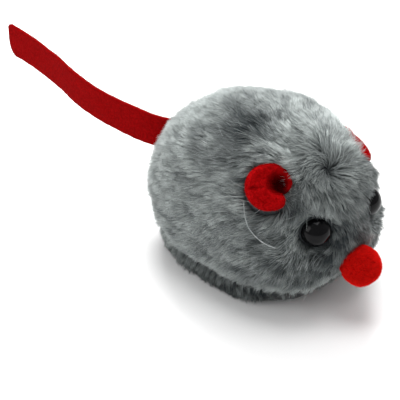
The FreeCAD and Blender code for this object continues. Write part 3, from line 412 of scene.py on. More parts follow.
# painted shade: an attribute mixes the ear felt towards dark red down in the hollow and along the crease, where shade
# falls
e_att = ent.nodes.new("ShaderNodeAttribute")
e_att.attribute_name = "hollow_shade"
e_shade_mix = ent.nodes.new("ShaderNodeMix")
e_shade_mix.data_type = "RGBA"
ent.links.new(e_att.outputs["Fac"], e_shade_mix.inputs[0])
ent.links.new(e_ramp, e_shade_mix.inputs[6])
e_shade_mix.inputs[7].default_value = (*srgb(52, 3, 5), 1)
ent.links.new(e_shade_mix.outputs[2], eb.inputs["Base Color"])
for m_ in (FELT, TAIL_FELT_SHADED, POM_FELT_LIT, EAR_FELT_SHADED):
    m_.node_tree.nodes["Principled BSDF"].inputs["Specular IOR Level"].default_value = 0.02
# the fuzz reds do the same: ear and tail fuzz painted darker as painted shade, nose fuzz paler as painted light
EAR_SHADED_A, EAR_SHADED_B = srgb(138, 5, 8), srgb(188, 13, 15)
TAIL_SHADED_A, TAIL_SHADED_B = srgb(112, 3, 4), srgb(150, 7, 9)
POM_LIT_A, POM_LIT_B = srgb(212, 14, 13), srgb(250, 34, 28)

# where the eyes, ears, nose, key and tail are
EYE_C = np.array([[-11.2, -36.57, 30.7], [11.2, -36.57, 30.7]])
EYE_N = unit(np.array([[-0.60, -0.80, 0.05], [0.60, -0.80, 0.05]]))
EAR_C = np.array([[-16.15, -22.85, 40.7], [14.6, -22.9, 39.7]])
EAR_N = unit(np.array([[-0.50, -0.42, 0.76], [0.50, -0.42, 0.76]]))
# the way each ear's fold points, square to its axis
EAR_FOLD = []
for sx, n_ear in zip((-1, 1), EAR_N):
    f0 = np.array([0.10 * sx, -0.86, -0.50])
    f0 = unit(f0 - n_ear * (f0 @ n_ear))
    EAR_FOLD.append(unit(f0 * math.cos(0.60) - sx * np.cross(n_ear, f0) * math.sin(0.60)))
NOSE_C = np.array([0, -44.0, 17.7])
KEY_C = np.array([26.0, -17.0, 19.0])
TAIL_C = np.array([-5.2, 31.0, 30.0])

# --------------------------------------------------------------- body skin
SKIN_IN = 3.0
grid = body_grid(176, 110)
gn = grid_normals(grid)
flat = grid.reshape(-1, 3)
lump = (fbm(flat, 17.0, 3, 3) - 0.5) * 1.6 + (fbm(flat, 7.0, 9, 2) - 0.5) * 0.7
full = 1.1 * smooth(32, 18, flat[:, 2]) * smooth(-12, 10, flat[:, 1])
skin = grid + gn * ((lump + full).reshape(grid.shape[:2])[..., None] - SKIN_IN)


def dip(pts, centre, n, level, r0, r1):
    """Push the surface down to that level below the centre inside r0, easing out to r1."""
    d = pts - centre
    hgt = d @ n
    rad = np.linalg.norm(d - hgt[..., None] * n, axis=-1)
    w = smooth(r1, r0, rad) * smooth(-9.0, -5.0, hgt)
    low = np.minimum(0.0, level - hgt) * w
    return pts + low[..., None] * n


for c, n_ in zip(EYE_C, EYE_N):
    skin = dip(skin, c, n_, -1.2, 5.0, 8.4)
for c, n_ in zip(EAR_C, EAR_N):
    skin = dip(skin, c, n_, -0.75, 5.6, 9.6)
skin_n = grid_normals(skin)
me = grid_mesh("plush_skin", skin, cap_low=[0, -5.0, 7.6], cap_high=skin[-1].mean(axis=0))
me.materials.append(BACKING)
skin_o = new_object("plush_skin", me)
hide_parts("fur_body")


WHORL = np.array([-4.2, -35.4, 48.6])


def body_flow(p, nrm):
    """The way the pile lies: back along the body and a little down its sides, fanning out
    from a crown on top of the head and falling down the face."""
    side = np.abs(nrm[:, 0])
    f = np.zeros_like(p)
    f[:, 1] = 1.0
    f[:, 2] = -0.20 - 0.16 * side - 0.30 * smooth(20, 10, p[:, 2])
    f[:, 0] = 0.10 * np.sign(p[:, 0]) * (1 - side)
    face = smooth(0.42, 0.80, -nrm[:, 1])[:, None]
    down = np.zeros_like(p)
    down[:, 1] = -0.5
    down[:, 2] = -1.0
    down[:, 0] = 0.9 * p[:, 0] / 14.0
    f = f * (1 - face) + down * face
    out = p - WHORL
    dist = np.linalg.norm(out, axis=1)
    fan = unit(out - nrm * np.sum(out * nrm, axis=1, keepdims=True))
    wf = (np.exp(-(dist / 9.5) ** 2) * smooth(8, -4, p[:, 1] + 26))[:, None]
    crown = np.exp(-(dist / 7.0) ** 2)
    f = unit(f) * (1 - wf) + fan * wf
    rear = smooth(0.62, 0.95, nrm[:, 1])[:, None]
    back = np.zeros_like(p)
    back[:, 0], back[:, 1], back[:, 2] = 0.5 * np.sign(p[:, 0] + 5), 0.4, -0.7
    f = f * (1 - rear) + back * rear
    # swirls of brushed pile
    ang = (fbm(p, 15.0, 21, 2) - 0.5) * 1.9 + (noise(p, 5.0, 5) - 0.5) * 1.0 + RNG.normal(0, 0.16, len(p))
    ang = ang + crown * (0.75 + 2.2 * (noise(p, 2.6, 57) - 0.5))
    f = unit(f - nrm * np.sum(f * nrm, axis=1, keepdims=True))
    s = np.cross(nrm, f)
    f = unit(f * np.cos(ang)[:, None] + s * np.sin(ang)[:, None])
    # the pile parts round the eyes and ears
    for centres, axes, reach in ((EYE_C, EYE_N, 9.5), (EAR_C, EAR_N, 12.5)):
        for c, e in zip(centres, axes):
            d = p - c
            d = d - (d @ e)[:, None] * e
            rad = np.linalg.norm(d, axis=1)
            er = d / np.maximum(rad, 1e-6)[:, None]
            inward = np.sum(f * er, axis=1)
            near = np.linalg.norm(p - c, axis=1) < reach + 3
            w = smooth(reach, reach - 4.0, rad) * near * (inward < 0.25)
            f = f - (w * (inward - 0.25) * 1.15)[:, None] * er
    return unit(f)


def away(p, centre, r0, r1):
    return smooth(r0, r1, np.linalg.norm(p - centre, axis=1))


N_FUR = 118000
p, nr = sample_grid(skin, skin_n, N_FUR)
keep = np.ones(len(p), dtype=bool)
for c, e in zip(EYE_C, EYE_N):
    d = p - c
    h_ = d @ e
    keep &= ~((np.linalg.norm(d - h_[:, None] * e, axis=1) < 4.75) & (h_ > -8))
for k_, (c, e) in enumerate(zip(EAR_C, EAR_N)):
    d = p - c
    h_ = d @ e
    d = d - h_[:, None] * e
    rad = np.linalg.norm(d, axis=1)
    mouth = (d @ EAR_FOLD[k_]) / np.maximum(rad, 1e-6) > math.cos(0.42)
    keep &= ~((rad < np.where(mouth, 3.4, 6.5)) & (h_ > -8))
keep &= np.linalg.norm(p - NOSE_C, axis=1) > 5.6
keep &= ~((np.hypot(p[:, 1] + 17.0, p[:, 2] - 19.0) < 5.2) & (p[:, 0] > 15))
keep &= ~((np.abs(p[:, 0] - TAIL_C[0]) < 1.3) & (np.abs(p[:, 2] - 30.0) < 5.3) & (p[:, 1] > 20))
p, nr = p[keep], nr[keep]
flow = body_flow(p, nr)
n_st = len(p)
clump = tufts(p, nr, flow, 11, 5)
cl_rand = np.random.default_rng(8).random(n_st)[clump]

length = 6.0 + 1.5 * (cl_rand - 0.5) + RNG.normal(0, 0.6, n_st)
near_eye = np.minimum(away(p, EYE_C[0], 5.0, 11.0), away(p, EYE_C[1], 5.0, 11.0))
near_ear = np.minimum(away(p, EAR_C[0] + EAR_N[0] * 1.5, 5.0, 11.0), away(p, EAR_C[1] + EAR_N[1] * 1.5, 5.0, 11.0))
near_nose = away(p, NOSE_C, 5.5, 14.0)
near_key = away(p, KEY_C, 7.0, 13.0)
short = np.minimum(np.minimum(0.46 + 0.54 * near_eye, 0.55 + 0.45 * near_nose), np.minimum(0.5 + 0.5 * near_key, 0.6 + 0.4 * near_ear))
muzzle = smooth(-34.0, -41.0, p[:, 1]) * smooth(42, 34, p[:, 2]) * smooth(0.4, 0.8, -nr[:, 1])
length = length * short * (1 - 0.16 * muzzle)
low_front = smooth(14, 9, p[:, 2]) * smooth(-10, -30, p[:, 1])
length = length * (1 - 0.25 * low_front)
lift = np.radians(28 + 13 * (fbm(p, 9.0, 31, 2) - 0.5) + RNG.normal(0, 5.5, n_st))
lift = lift * (1 - 0.2 * muzzle)

# mottled grey: charcoal under-pile, mid-grey body, pale frosted tips
tone = fbm(p, 12.0, 41, 3)
streak = noise(p[clump] * np.array([1.0, 0.6, 1.0]), 2.0, 43)
tip_l = 0.53 + 0.62 * (tone - 0.5) + 0.72 * (streak - 0.5) + 0.34 * (cl_rand - 0.5)
# painted light: the fibre colour is made paler where light falls, on the rear, the top of the head, the top of the back
# and a band low on the sides
painted_light_rear = smooth(-6, 24, p[:, 1]) * smooth(12, 26, p[:, 2])
painted_light_head = smooth(43, 50, p[:, 2]) * smooth(-16, -28, p[:, 1])
painted_light_top = smooth(50, 53, p[:, 2]) * smooth(-4, 4, p[:, 0])
painted_light_low = np.exp(-((p[:, 2] - 12.5) / 3.2) ** 2)
# painted shade: the fibre colour is made darker where shade falls, beside the eye, in front of the ear, on the cheek,
# the brow, the muzzle and the far cheek; dark_back is a darker patch on the top of the back
dark_back = np.exp(-((p[:, 0] + 8.8) ** 2 / 28.0 + (p[:, 1] + 10.0) ** 2 / 52.0)) * smooth(42, 47, p[:, 2])
painted_shade_eye = np.exp(-(((p[:, 0] + 5.8) / 4.2) ** 2 + ((p[:, 2] - 28.5) / 6.5) ** 2)) * smooth(-30, -37, p[:, 1])
painted_shade_ear = np.exp(-(((p - np.array([-12.5, -31.5, 41.5])) / 4.5) ** 2).sum(axis=1))
painted_shade_cheek = np.exp(-(((p[:, 1] + 30.0) / 12.0) ** 2 + ((p[:, 2] - 20.0) / 7.0) ** 2)) * smooth(-4, -12, p[:, 0])
painted_shade_brow = np.exp(-(((p[:, 1] + 25.0) / 8.0) ** 2 + ((p[:, 2] - 33.0) / 6.0) ** 2)) * smooth(-8, -14, p[:, 0])
painted_shade_far_face = smooth(2, 12, p[:, 0]) * smooth(-30, -38, p[:, 1]) * smooth(44, 34, p[:, 2])
painted_shade_and_dark_patch = (0.58 * dark_back + 0.36 * painted_shade_eye + 0.32 * painted_shade_ear + 0.26 * painted_shade_cheek + 0.12 * painted_shade_brow + 0.16 * muzzle + 0.12 * painted_shade_far_face)
# the tips here, and the roots below, take the painted light and the painted shade
tip_l = tip_l + 0.50 * painted_light_rear + 0.13 * painted_light_head + 0.22 * painted_light_top + 0.16 * painted_light_low - painted_shade_and_dark_patch
tip_l = np.clip(tip_l + RNG.normal(0, 0.11, n_st), 0, 1)[:, None]
dark_t, pale_t = srgb(58, 65, 68), srgb(216, 223, 221)
c_tip = dark_t * (1 - tip_l) + pale_t * tip_l
dark_r, pale_r = srgb(30, 34, 37), srgb(104, 111, 112)
root_l = np.clip(0.40 + 0.6 * (tone - 0.5) + 0.3 * painted_light_rear + 0.15 * painted_light_head - 0.5 * painted_shade_and_dark_patch + RNG.normal(0, 0.07, n_st), 0, 1)[:, None]
c_root = dark_r * (1 - root_l) + pale_r * root_l
strands("fur", p, nr, flow, length, lift, 0.115, c_root, c_tip, clump=clump,
        keep=0.34 + 0.34 * cl_rand, curl=0.14, mat=FUR, tip_power=0.8)

# a few long pale guard hairs
n_g = 260
gp, gnn = sample_grid(skin, skin_n, n_g)
ok = (np.linalg.norm(gp - NOSE_C, axis=1) > 9) & (np.min([np.linalg.norm(gp - c, axis=1) for c in EYE_C], axis=0) > 7)
ok &= ~((np.hypot(gp[:, 1] + 17.0, gp[:, 2] - 19.0) < 12) & (gp[:, 0] > 10))
gp, gnn = gp[ok], gnn[ok]
gf = body_flow(gp, gnn)
pale = np.repeat(srgb(196, 204, 202)[None], len(gp), 0)
strands("guard_hair", gp, gnn, gf, 7.6 + RNG.normal(0, 0.9, len(gp)), np.radians(30), 0.075, pale * 0.7, pale, curl=0.3, mat=FUR)


def tube(name, line, r, mat, sides=6):
    """A thin round thread along a line of points."""
    tan_ = unit(np.gradient(line, axis=0))
    ref = unit(np.cross(tan_, [0.3, 0.2, 1.0]))
    oth = np.cross(tan_, ref)
    a = np.linspace(0, 2 * np.pi, sides, endpoint=False)
    taper = np.minimum(1.0, np.minimum(np.arange(len(line)), np.arange(len(line))[::-1]) / 4.0 + 0.25)
    g = line[:, None, :] + (r * taper)[:, None, None] * (ref[:, None, :] * np.cos(a)[None, :, None] + oth[:, None, :] * np.sin(a)[None, :, None])
    me = grid_mesh(name, g[:, ::-1], cap_low=line[0], cap_high=line[-1])
    me.materials.append(mat)
    o = new_object(name, me)
    return o


THREAD = surface("stray_fibre", srgb(150, 158, 158), srgb(196, 203, 203), 900, 0.6)

# the stray thread that hangs from the ear
HANG = np.array([(-22.9, -19.6, 38.9), (-23.7, -20.5, 36.9), (-24.2, -21.4, 35.0), (-24.6, -22.9, 32.6), (-24.5, -24.9, 31.0), (-23.9, -27.3, 29.5), (-22.9, -29.8, 28.7), (-21.8, -31.7, 28.3)])
k_ = np.linspace(0, len(HANG) - 1, 40)
thread = np.stack([np.interp(k_, np.arange(len(HANG)), HANG[:, q]) for q in range(3)], 1)
for _ in range(6):
    thread[1:-1] = (thread[:-2] + 2 * thread[1:-1] + thread[2:]) / 4
out_ = unit(thread - np.array([0, -8.0, 26.0]))
tube("stray_thread", thread + out_ * 0.35, 0.09, THREAD)

# ------------------------------------------------------------------ filling
src = frame["nodes"]["stuffing"]
me = src.data.copy()
fill_o = bpy.data.objects.new("filling", me)
bpy.context.scene.collection.objects.link(fill_o)
fill_o.data.materials.clear()
rm = fill_o.modifiers.new("even", "REMESH")
rm.mode = "VOXEL"
rm.voxel_size = 0.0012
dg = bpy.context.evaluated_depsgraph_get()
even = bpy.data.meshes.new_from_object(fill_o.evaluated_get(dg))
fill_o.modifiers.clear()
fill_o.data = even
co = np.zeros(len(even.vertices) * 3, dtype=np.float32)
even.vertices.foreach_get("co", co)
co = co.reshape(-1, 3) * 1000.0 - MID
vn = np.zeros(len(even.vertices) * 3, dtype=np.float32)
even.vertices.foreach_get("normal", vn)
vn = vn.reshape(-1, 3)
outside = np.zeros(len(co), dtype=bool)
ring_c = np.array([0.0, -6.0, 24.0])
outside = np.sum((co - ring_c) * vn, axis=1) > 0
outer_part = outside & ((np.abs(co[:, 0]) > 16) | (co[:, 2] > 35) | (co[:, 1] > 22.5) | (co[:, 1] < -31.5))
push = 0.35 + 1.2 * fbm(co, 4.5, 131, 3) + 1.9 * smooth(24.0, 40.0, co[:, 2])
co = co - vn * (push * outer_part)[:, None]
for c, n_ in zip(EAR_C, EAR_N):
    co = dip(co, c, n_, -2.9, 9.0, 13.0)
even.vertices.foreach_set("co", ((co + MID) / 1000.0).astype(np.float32).ravel())
even.polygons.foreach_set("use_smooth", np.ones(len(even.polygons), dtype=bool))
even.update()
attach(fill_o, "chassis")
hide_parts("stuffing")

# --------------------------------------------------------------------- hem
t = np.linspace(0, 2 * np.pi, 150, endpoint=False)


def hem_ring(z, grow):
    e = 2 / 2.7
    x = (22.9 - 1.5 + grow) * np.sign(np.cos(t)) * np.abs(np.cos(t)) ** e
    y = -3.0 + (29.4 - 1.0 + grow) * np.sign(np.sin(t)) * np.abs(np.sin(t)) ** e
    return np.stack([x, y, np.full_like(x, z)], 1)


rows = [hem_ring(z, g) for z, g in ((8.8, -1.5), (9.0, -0.8), (8.2, 0.0), (6.0, 0.2), (4.2, 0.15), (3.0, -0.1), (2.4, -0.5), (2.5, -1.0), (3.2, -1.3), (6.0, -1.5), (8.8, -1.5))]
hem = np.array(rows)
wav = (fbm(hem.reshape(-1, 3), 9.0, 61, 2) - 0.5).reshape(hem.shape[:2])[..., None]
radial = unit((hem - np.array([0, -3.0, 0])) * np.array([1, 1, 0]))
hem = hem + radial * wav * np.array([0, .5, 1, 1, 1, 1, .6, 0, 0, 0, 0])[:, None, None] * 0.9
raise_ = 2.2 * smooth(-11.0, -29.0, hem[..., 1]) * smooth(9.5, 3.0, hem[..., 2])
hem[..., 2] += raise_
hem[..., 1] += 0.9 * raise_
hem[-1] = hem[0]
me = grid_mesh("hem_skin", hem)
me.materials.append(BACKING)
hem_o = new_object("hem_skin", me)
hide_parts("fur_hem")
outer = hem[1:7][::-1]
on = grid_normals(outer)
hp, hn = sample_grid(outer, on, 20000)
hflow = np.zeros_like(hp)
hflow[:, 2] = -1.0
hang = (fbm(hp, 8.0, 71, 2) - 0.5) * 1.6
hs = np.cross(hn, hflow)
hflow = hflow * np.cos(hang)[:, None] + hs * np.sin(hang)[:, None]
hclump = tufts(hp, hn, hflow, 14, 15)
hr = np.random.default_rng(18).random(len(hp))[hclump]
front_in = smooth(-17, -31, hp[:, 1])
hlen = np.minimum(4.4 + 1.4 * (hr - 0.5) + RNG.normal(0, 0.4, len(hp)), np.maximum(1.2, (hp[:, 2] - 0.4 - 1.9 * front_in) * 1.14))
tone = fbm(hp, 9.0, 81, 3)
tl = np.clip(0.34 + 1.1 * (tone - 0.5) + 0.6 * (hr - 0.5) + RNG.normal(0, 0.07, len(hp)), 0, 1)[:, None]
strands("hem_fur", hp, hn, hflow, hlen, np.radians(17 + 14 * (fbm(hp, 7.0, 77, 2) - 0.5) + RNG.normal(0, 6, len(hp))), 0.12,
        np.repeat(srgb(34, 38, 40)[None], len(hp), 0), srgb(58, 64, 66) * (1 - tl) + srgb(196, 203, 201) * tl,
        clump=hclump, keep=0.4 + 0.3 * hr, mat=FUR)

# -------------------------------------------------------------------- tail
# smooth plan curve of the felt strip, which stands on its edge
PLAN = np.array([(-4.6, 26.0), (-8.7, 38.5), (-10.5, 55.0), (-9.8, 69.0), (-7.2, 82.5), (-5.3, 96.0), (-4.7, 111.9)])


def catmull(pts, n):
    q = np.vstack([2 * pts[0] - pts[1], pts, 2 * pts[-1] - pts[-2]])
    out = []
    for i in range(1, len(q) - 2):
        for u in np.linspace(0, 1, n, endpoint=False):
            a, b, c, d = q[i - 1], q[i], q[i + 1], q[i + 2]
            out.append(0.5 * ((2 * b) + (c - a) * u + (2 * a - 5 * b + 4 * c - d) * u * u + (-a + 3 * b - 3 * c + d) * u ** 3))
    out.append(q[-2])
    return np.array(out)


line = catmull(PLAN, 16)
seg = np.concatenate([[0], np.cumsum(np.linalg.norm(np.diff(line, axis=0), axis=1))])
TAIL_LEN = seg[-1]
ns = 170
sq = np.linspace(0, TAIL_LEN, ns)
line = np.stack([np.interp(sq, seg, line[:, k]) for k in (0, 1)], 1)
tan = unit(np.gradient(line, axis=0))
nor = np.stack([-tan[:, 1], tan[:, 0]], 1)
# cross-section: a strip 11.4 by 1.2 with soft edges
w2, t2, rc = 5.7, 0.6, 0.45
sec = []
for cx, cz, a0 in ((t2 - rc, w2 - rc, 0), (-(t2 - rc), w2 - rc, 90), (-(t2 - rc), -(w2 - rc), 180), (t2 - rc, -(w2 - rc), 270)):
    for a in np.radians(np.linspace(a0, a0 + 90, 5)):
        sec.append((cx + rc * math.cos(a), cz + rc * math.sin(a)))
mid = []
for i in range(len(sec)):
    a, b = np.array(sec[i]), np.array(sec[(i + 1) % len(sec)])
    mid.append(a)
    long = np.linalg.norm(b - a)
    for k in range(1, int(long / 0.8)):
        mid.append(a + (b - a) * k / int(long / 0.8))
sec = np.array(mid)
tail = np.zeros((ns, len(sec), 3))
for i in range(ns):
    rest = TAIL_LEN - sq[i]
    tail[i, :, 0] = line[i, 0] + nor[i, 0] * sec[:, 0]
    tail[i, :, 1] = line[i, 1] + nor[i, 1] * sec[:, 0]
    z = sec[:, 1].copy()
    # the cut end: square above, its lower corner rounded off
    if rest < 4.6:
        low = -w2 + 0.92 * (4.6 - math.sqrt(max(0.0, 4.6 ** 2 - (4.6 - rest) ** 2)))
        z = np.maximum(z, low)
    if rest < 1.2:
        high = w2 - (1.2 - math.sqrt(max(0.0, 1.2 ** 2 - (1.2 - rest) ** 2)))
        z = np.minimum(z, high)
    tail[i, :, 2] = 30.0 + z
tf = tail.reshape(-1, 3)
tw = ((fbm(tf, 7.0, 91, 2) - 0.5) * 0.5 + (fbm(tf, 1.3, 95, 2) - 0.5) * 0.28).reshape(ns, len(sec), 1)
centre = np.stack([line[:, 0], line[:, 1], np.full(ns, 30.0)], 1)[:, None, :]
tdir = unit(tail - centre)
tail = tail + tdir * tw
me = grid_mesh("tail_felt_painted_shade", tail[:, ::-1], cap_low=tail[0].mean(axis=0), cap_high=tail[-1].mean(axis=0))
me.materials.append(TAIL_FELT_SHADED)
tail_o = new_object("tail_felt_painted_shade", me)
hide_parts("tail")
tnn = grid_normals(tail[:, ::-1])
tp, tn2 = sample_grid(tail[:, ::-1], tnn, 10000)
tfl = RNG.normal(0, 1, tp.shape)
shade = (0.75 + 0.5 * RNG.random((len(tp), 1)))
strands("tail_fuzz", tp, tn2, tfl, 0.5 + 0.2 * RNG.random(len(tp)), np.radians(12 + 12 * RNG.random(len(tp))), 0.045,
        TAIL_SHADED_A[None] * shade, TAIL_SHADED_B[None] * shade, curl=0.5, mat=FUZZ)

# -------------------------------------------------------------------- nose
nu, nv = 96, 60
th = np.linspace(0, 2 * np.pi, nu, endpoint=False)
ph = np.linspace(-np.pi / 2 + 0.05, np.pi / 2 - 0.05, nv)
ball = np.stack([np.cos(ph)[:, None] * np.cos(th)[None], np.cos(ph)[:, None] * np.sin(th)[None], np.repeat(np.sin(ph)[:, None], nu, 1)], -1)
bf = ball.reshape(-1, 3)
r = 5.05 + 0.9 * (fbm(bf * 6.0, 4.2, 101, 2) - 0.5) + 0.35 * (fbm(bf * 6.0, 1.4, 103, 2) - 0.5)
nose = (bf * r[:, None]).reshape(ball.shape) + NOSE_C
me = grid_mesh("nose_core", nose, cap_low=NOSE_C + [0, 0, -5.05], cap_high=NOSE_C + [0, 0, 5.05])
me.materials.append(POM_FELT_LIT)
nose_o = new_object("nose_core", me)
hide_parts("nose")
nn = grid_normals(nose)
np_, nn2 = sample_grid(nose, nn, 16000)
ok = np_[:, 1] < -40.0
np_, nn2 = np_[ok], nn2[ok]
shade = 0.8 + 0.4 * RNG.random((len(np_), 1))
strands("nose_fuzz", np_, nn2, RNG.normal(0, 1, np_.shape), 0.95 + 0.35 * RNG.random(len(np_)), np.radians(48 + 22 * RNG.random(len(np_))), 0.07,
        POM_LIT_A[None] * shade, POM_LIT_B[None] * shade, curl=0.4, mat=FUZZ)

# -------------------------------------------------------------------- ears
CREASE = (0.52, -0.52)
for k_ear, (sx, name) in enumerate(((-1, "ear_right"), (1, "ear_left"))):
    n_ear = EAR_N[k_ear]
    pinch = EAR_FOLD[k_ear]
    cross = np.cross(n_ear, pinch)
    rho = np.linspace(0.03, 1.0, 34)
    phi = np.linspace(0, 2 * np.pi, 110, endpoint=False)
    R, F = np.meshgrid(rho, phi, indexing="ij")
    d = (F + np.pi) % (2 * np.pi) - np.pi  # angle from the fold
    draw = np.exp(-(np.abs(d) / 0.34) ** 2.0)
    lobe = np.exp(-((np.abs(d) - 0.80) / 0.42) ** 2)
    # a felt disc drawn into a cup with a soft brim, its front edge folded in and stitched
    rad = 6.3 * R * (1 - 0.60 * draw * R ** 0.7) * (1 + 0.05 * lobe)
    u = rad * np.cos(F)
    v = rad * np.sin(F) * (1 - 0.05 * lobe)
    # a broad sloping brim round a sunken hollow that lies next to the fold
    far_ = np.hypot(u - 2.0, v + 1.9 * sx)
    wall = np.clip((far_ - 1.5) / 2.9, 0, 1)
    h = -0.35 + 4.0 * wall * wall * (3 - 2 * wall) + 0.05 * np.clip(far_ - 4.4, 0, 4)
    # the brim rolls over at its edge
    h = h - 1.0 * np.clip((R - 0.86) / 0.14, 0, 1) ** 2 * (1 - draw)
    # a second crease runs in from the lower back of the brim
    turn = (F - (np.pi + CREASE[k_ear]) + np.pi) % (2 * np.pi) - np.pi
    h = h - 1.0 * np.exp(-(turn / 0.20) ** 2) * np.clip(R * 1.4 - 0.25, 0, 1) * smooth(1.04, 0.80, R)
    h = h - 0.9 * draw * R ** 1.5 + 0.45 * lobe * R ** 3
    h = h + 0.22 * np.sin(2.0 * F + 0.6) * R ** 2 + 0.12 * np.sin(5.0 * F) * R ** 3
    up = EAR_C[k_ear] + u[..., None] * pinch + v[..., None] * cross + h[..., None] * n_ear
    # the grid faces the way the cup opens
    up_same = grid_normals(up)[20].mean(axis=0) @ n_ear > 0
    up = up if up_same else up[:, ::-1]
    me = grid_mesh(name + "_felt", up, cap_low=up[0].mean(axis=0))
    # painted shade: the felt is painted darker down in the hollow and along the crease, where shade falls
    hollow_shade = np.clip(1.15 * (1 - smooth(1.2, 4.5, far_)) + 0.75 * np.exp(-(turn / 0.16) ** 2) * smooth(0.1, 0.5, R) * smooth(1.0, 0.7, R), 0, 1)
    hollow_shade_g = hollow_shade if up_same else hollow_shade[:, ::-1]
    att = me.color_attributes.new("hollow_shade", "FLOAT_COLOR", "POINT")
    vals = np.append(hollow_shade_g.ravel(), 1.0)
    att.data.foreach_set("color", np.repeat(vals[:, None], 4, 1).astype(np.float32).ravel())
    me.materials.append(EAR_FELT_SHADED)
    o = new_object(name + "_felt", me)
    so = o.modifiers.new("thick", "SOLIDIFY")
    so.thickness = 0.0012
    so.offset = 0
    be = o.modifiers.new("soft", "BEVEL")
    be.width = 0.00045
    be.segments = 3
    be.limit_method = "ANGLE"
    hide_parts(name)
    en = grid_normals(up)
    ep, enn = sample_grid(up, en, 6000)
    both = np.where(RNG.random((len(ep), 1)) < 0.5, 1.0, -1.0)
    shade = 0.75 + 0.5 * RNG.random((len(ep), 1))
    eu = (ep - EAR_C[k_ear]) @ pinch
    ev = (ep - EAR_C[k_ear]) @ cross
    # painted shade: the ear fuzz is darker down in the hollow
    shade = shade * (1 - 0.72 * (1 - smooth(1.2, 4.5, np.hypot(eu - 2.0, ev + 1.9 * sx))))[:, None]
    strands(name + "_fuzz", ep + enn * both * 0.55, enn * both, RNG.normal(0, 1, ep.shape), 0.55 + 0.25 * RNG.random(len(ep)),
            np.radians(16 + 12 * RNG.random(len(ep))), 0.045, EAR_SHADED_A[None] * shade, EAR_SHADED_B[None] * shade, curl=0.5, mat=FUZZ)

# -------------------------------------------------------------------- eyes
EYE = bpy.data.materials.new("eye_gloss")
nt, b = nodes_of(EYE)
noise_colour(nt, b, srgb(3, 3, 4), srgb(8, 8, 10), 700)
b.inputs["Roughness"].default_value = 0.05
b.inputs["Specular IOR Level"].default_value = 0.13
for k, name in ((0, "eye_right"), (1, "eye_left")):
    n_e = EYE_N[k]
    e1 = unit(np.cross(n_e, [0, 0, 1.0]))
    e2 = np.cross(n_e, e1)
    R_, H_ = 4.4, 3.3
    big = (R_ * R_ + H_ * H_) / (2 * H_)
    prof = [(1.2, -5.2), (1.3, -1.2), (R_ - 0.5, -0.8), (R_ - 0.05, -0.75), (R_, -0.45), (R_ - 0.02, -0.1)]
    amax = math.asin(R_ / big)
    for a in np.linspace(amax * 0.985, 0.03, 22):
        prof.append((big * math.sin(a), H_ - big + big * math.cos(a)))
    ang = np.linspace(0, 2 * np.pi, 64, endpoint=False)
    g = np.array([[EYE_C[k] + e1 * r_ * math.cos(a) + e2 * r_ * math.sin(a) + n_e * z_ for a in ang] for r_, z_ in prof])
    me = grid_mesh(name + "_dome", g[:, ::-1], cap_low=g[0].mean(axis=0), cap_high=EYE_C[k] + n_e * H_)
    me.materials.append(EYE)
    o = new_object(name + "_dome", me)
    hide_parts(name)

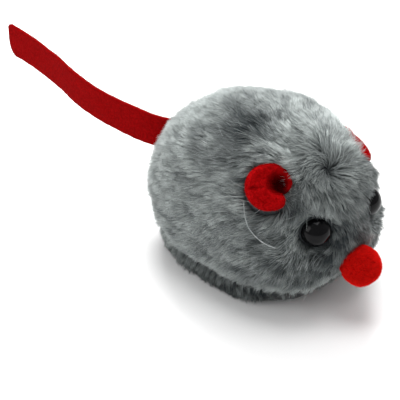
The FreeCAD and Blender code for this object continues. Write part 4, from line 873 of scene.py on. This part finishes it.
# -------------------------------------------------------- finishes of the CAD
FIN = {
    "black_abs": surface("tray_moulding", srgb(34, 35, 37), srgb(46, 47, 49), 800, 0.5, bump=0.25, bump_scale=4000, distance=0.00008),
    "wheel_plastic": surface("wheel_moulding", srgb(150, 152, 156), srgb(166, 168, 172), 600, 0.38, bump=0.1, bump_scale=2500, distance=0.00005),
    "tyre_rubber": surface("tyre_rubber", srgb(26, 26, 27), srgb(40, 40, 41), 1400, 0.78, bump=0.4, bump_scale=5000, distance=0.0001),
    "white_nylon": surface("nylon", srgb(214, 212, 203), srgb(228, 226, 218), 500, 0.45),
    "key_plastic": surface("key_moulding", srgb(216, 214, 208), srgb(232, 230, 226), 500, 0.35, bump=0.12, bump_scale=3000, distance=0.00006),
    "brass": surface("brass", srgb(176, 140, 74), srgb(204, 170, 100), 900, 0.3, 1.0, stretch=(1, 8, 8)),
    "plate_steel": surface("plate_steel", srgb(150, 151, 153), srgb(184, 185, 187), 700, 0.36, 1.0, stretch=(1, 1, 12)),
    "screw_steel": surface("plated_steel", srgb(160, 161, 164), srgb(196, 197, 200), 1200, 0.28, 1.0),
    "spring_steel": surface("blued_steel", srgb(62, 68, 84), srgb(96, 102, 116), 900, 0.3, 1.0, stretch=(14, 1, 1)),
    "polyester": surface("filling", srgb(214, 214, 210), srgb(238, 238, 235), 300, 0.95, bump=0.8, bump_scale=900, distance=0.0006),
    "plush": BACKING, "red_felt": FELT, "eye_gloss": EYE,
}
SLOT = {x["node"]: x["material_slot"] for x in frame["record"]["subparts"]}
fill_o.data.materials.append(FIN["polyester"])
for node, o in frame["nodes"].items():
    mat = FIN[SLOT[node]]
    if not o.material_slots:
        o.data.materials.append(mat)
    for ms in o.material_slots:
        ms.material = mat

# --------------------------------------------------------- floor and lights
bpy.ops.mesh.primitive_plane_add(size=6.0, location=(0, 0, 0))
floor = bpy.context.object
floor.name = "floor"
fm = bpy.data.materials.new("floor_white")
nt, b = nodes_of(fm)
noise_colour(nt, b, (0.90, 0.90, 0.90), (0.92, 0.92, 0.92), 3.0)
b.inputs["Roughness"].default_value = 0.9
b.inputs["Specular IOR Level"].default_value = 0.1
floor.data.materials.append(fm)

world = bpy.data.worlds.new("studio")
bpy.context.scene.world = world
world.use_nodes = True
bg = world.node_tree.nodes["Background"]
bg.inputs["Color"].default_value = (1.0, 1.0, 1.0, 1)
bg.inputs["Strength"].default_value = 0.57


def area(name, at, to, size, power, size_y=None):
    ld = bpy.data.lights.new(name, "AREA")
    ld.energy = power
    ld.size = size
    if size_y:
        ld.shape = "RECTANGLE"
        ld.size_y = size_y
    lo = bpy.data.objects.new(name, ld)
    bpy.context.scene.collection.objects.link(lo)
    lo.location = at
    lo.rotation_euler = (Vector(to) - Vector(at)).to_track_quat("-Z", "Y").to_euler()
    return lo


mid = to_row([0, -5, 25])
area("key_light", (0.46, 0.50, 0.70), mid, 0.50, 10.0)
area("top_light", (0.10, 0.0, 0.98), mid, 0.55, 5.5)
area("side_light", (-0.80, 0.34, 0.46), mid, 0.60, 2.8)

bpy.context.scene.view_settings.view_transform = "Standard"
bpy.context.scene.view_settings.look = "None"
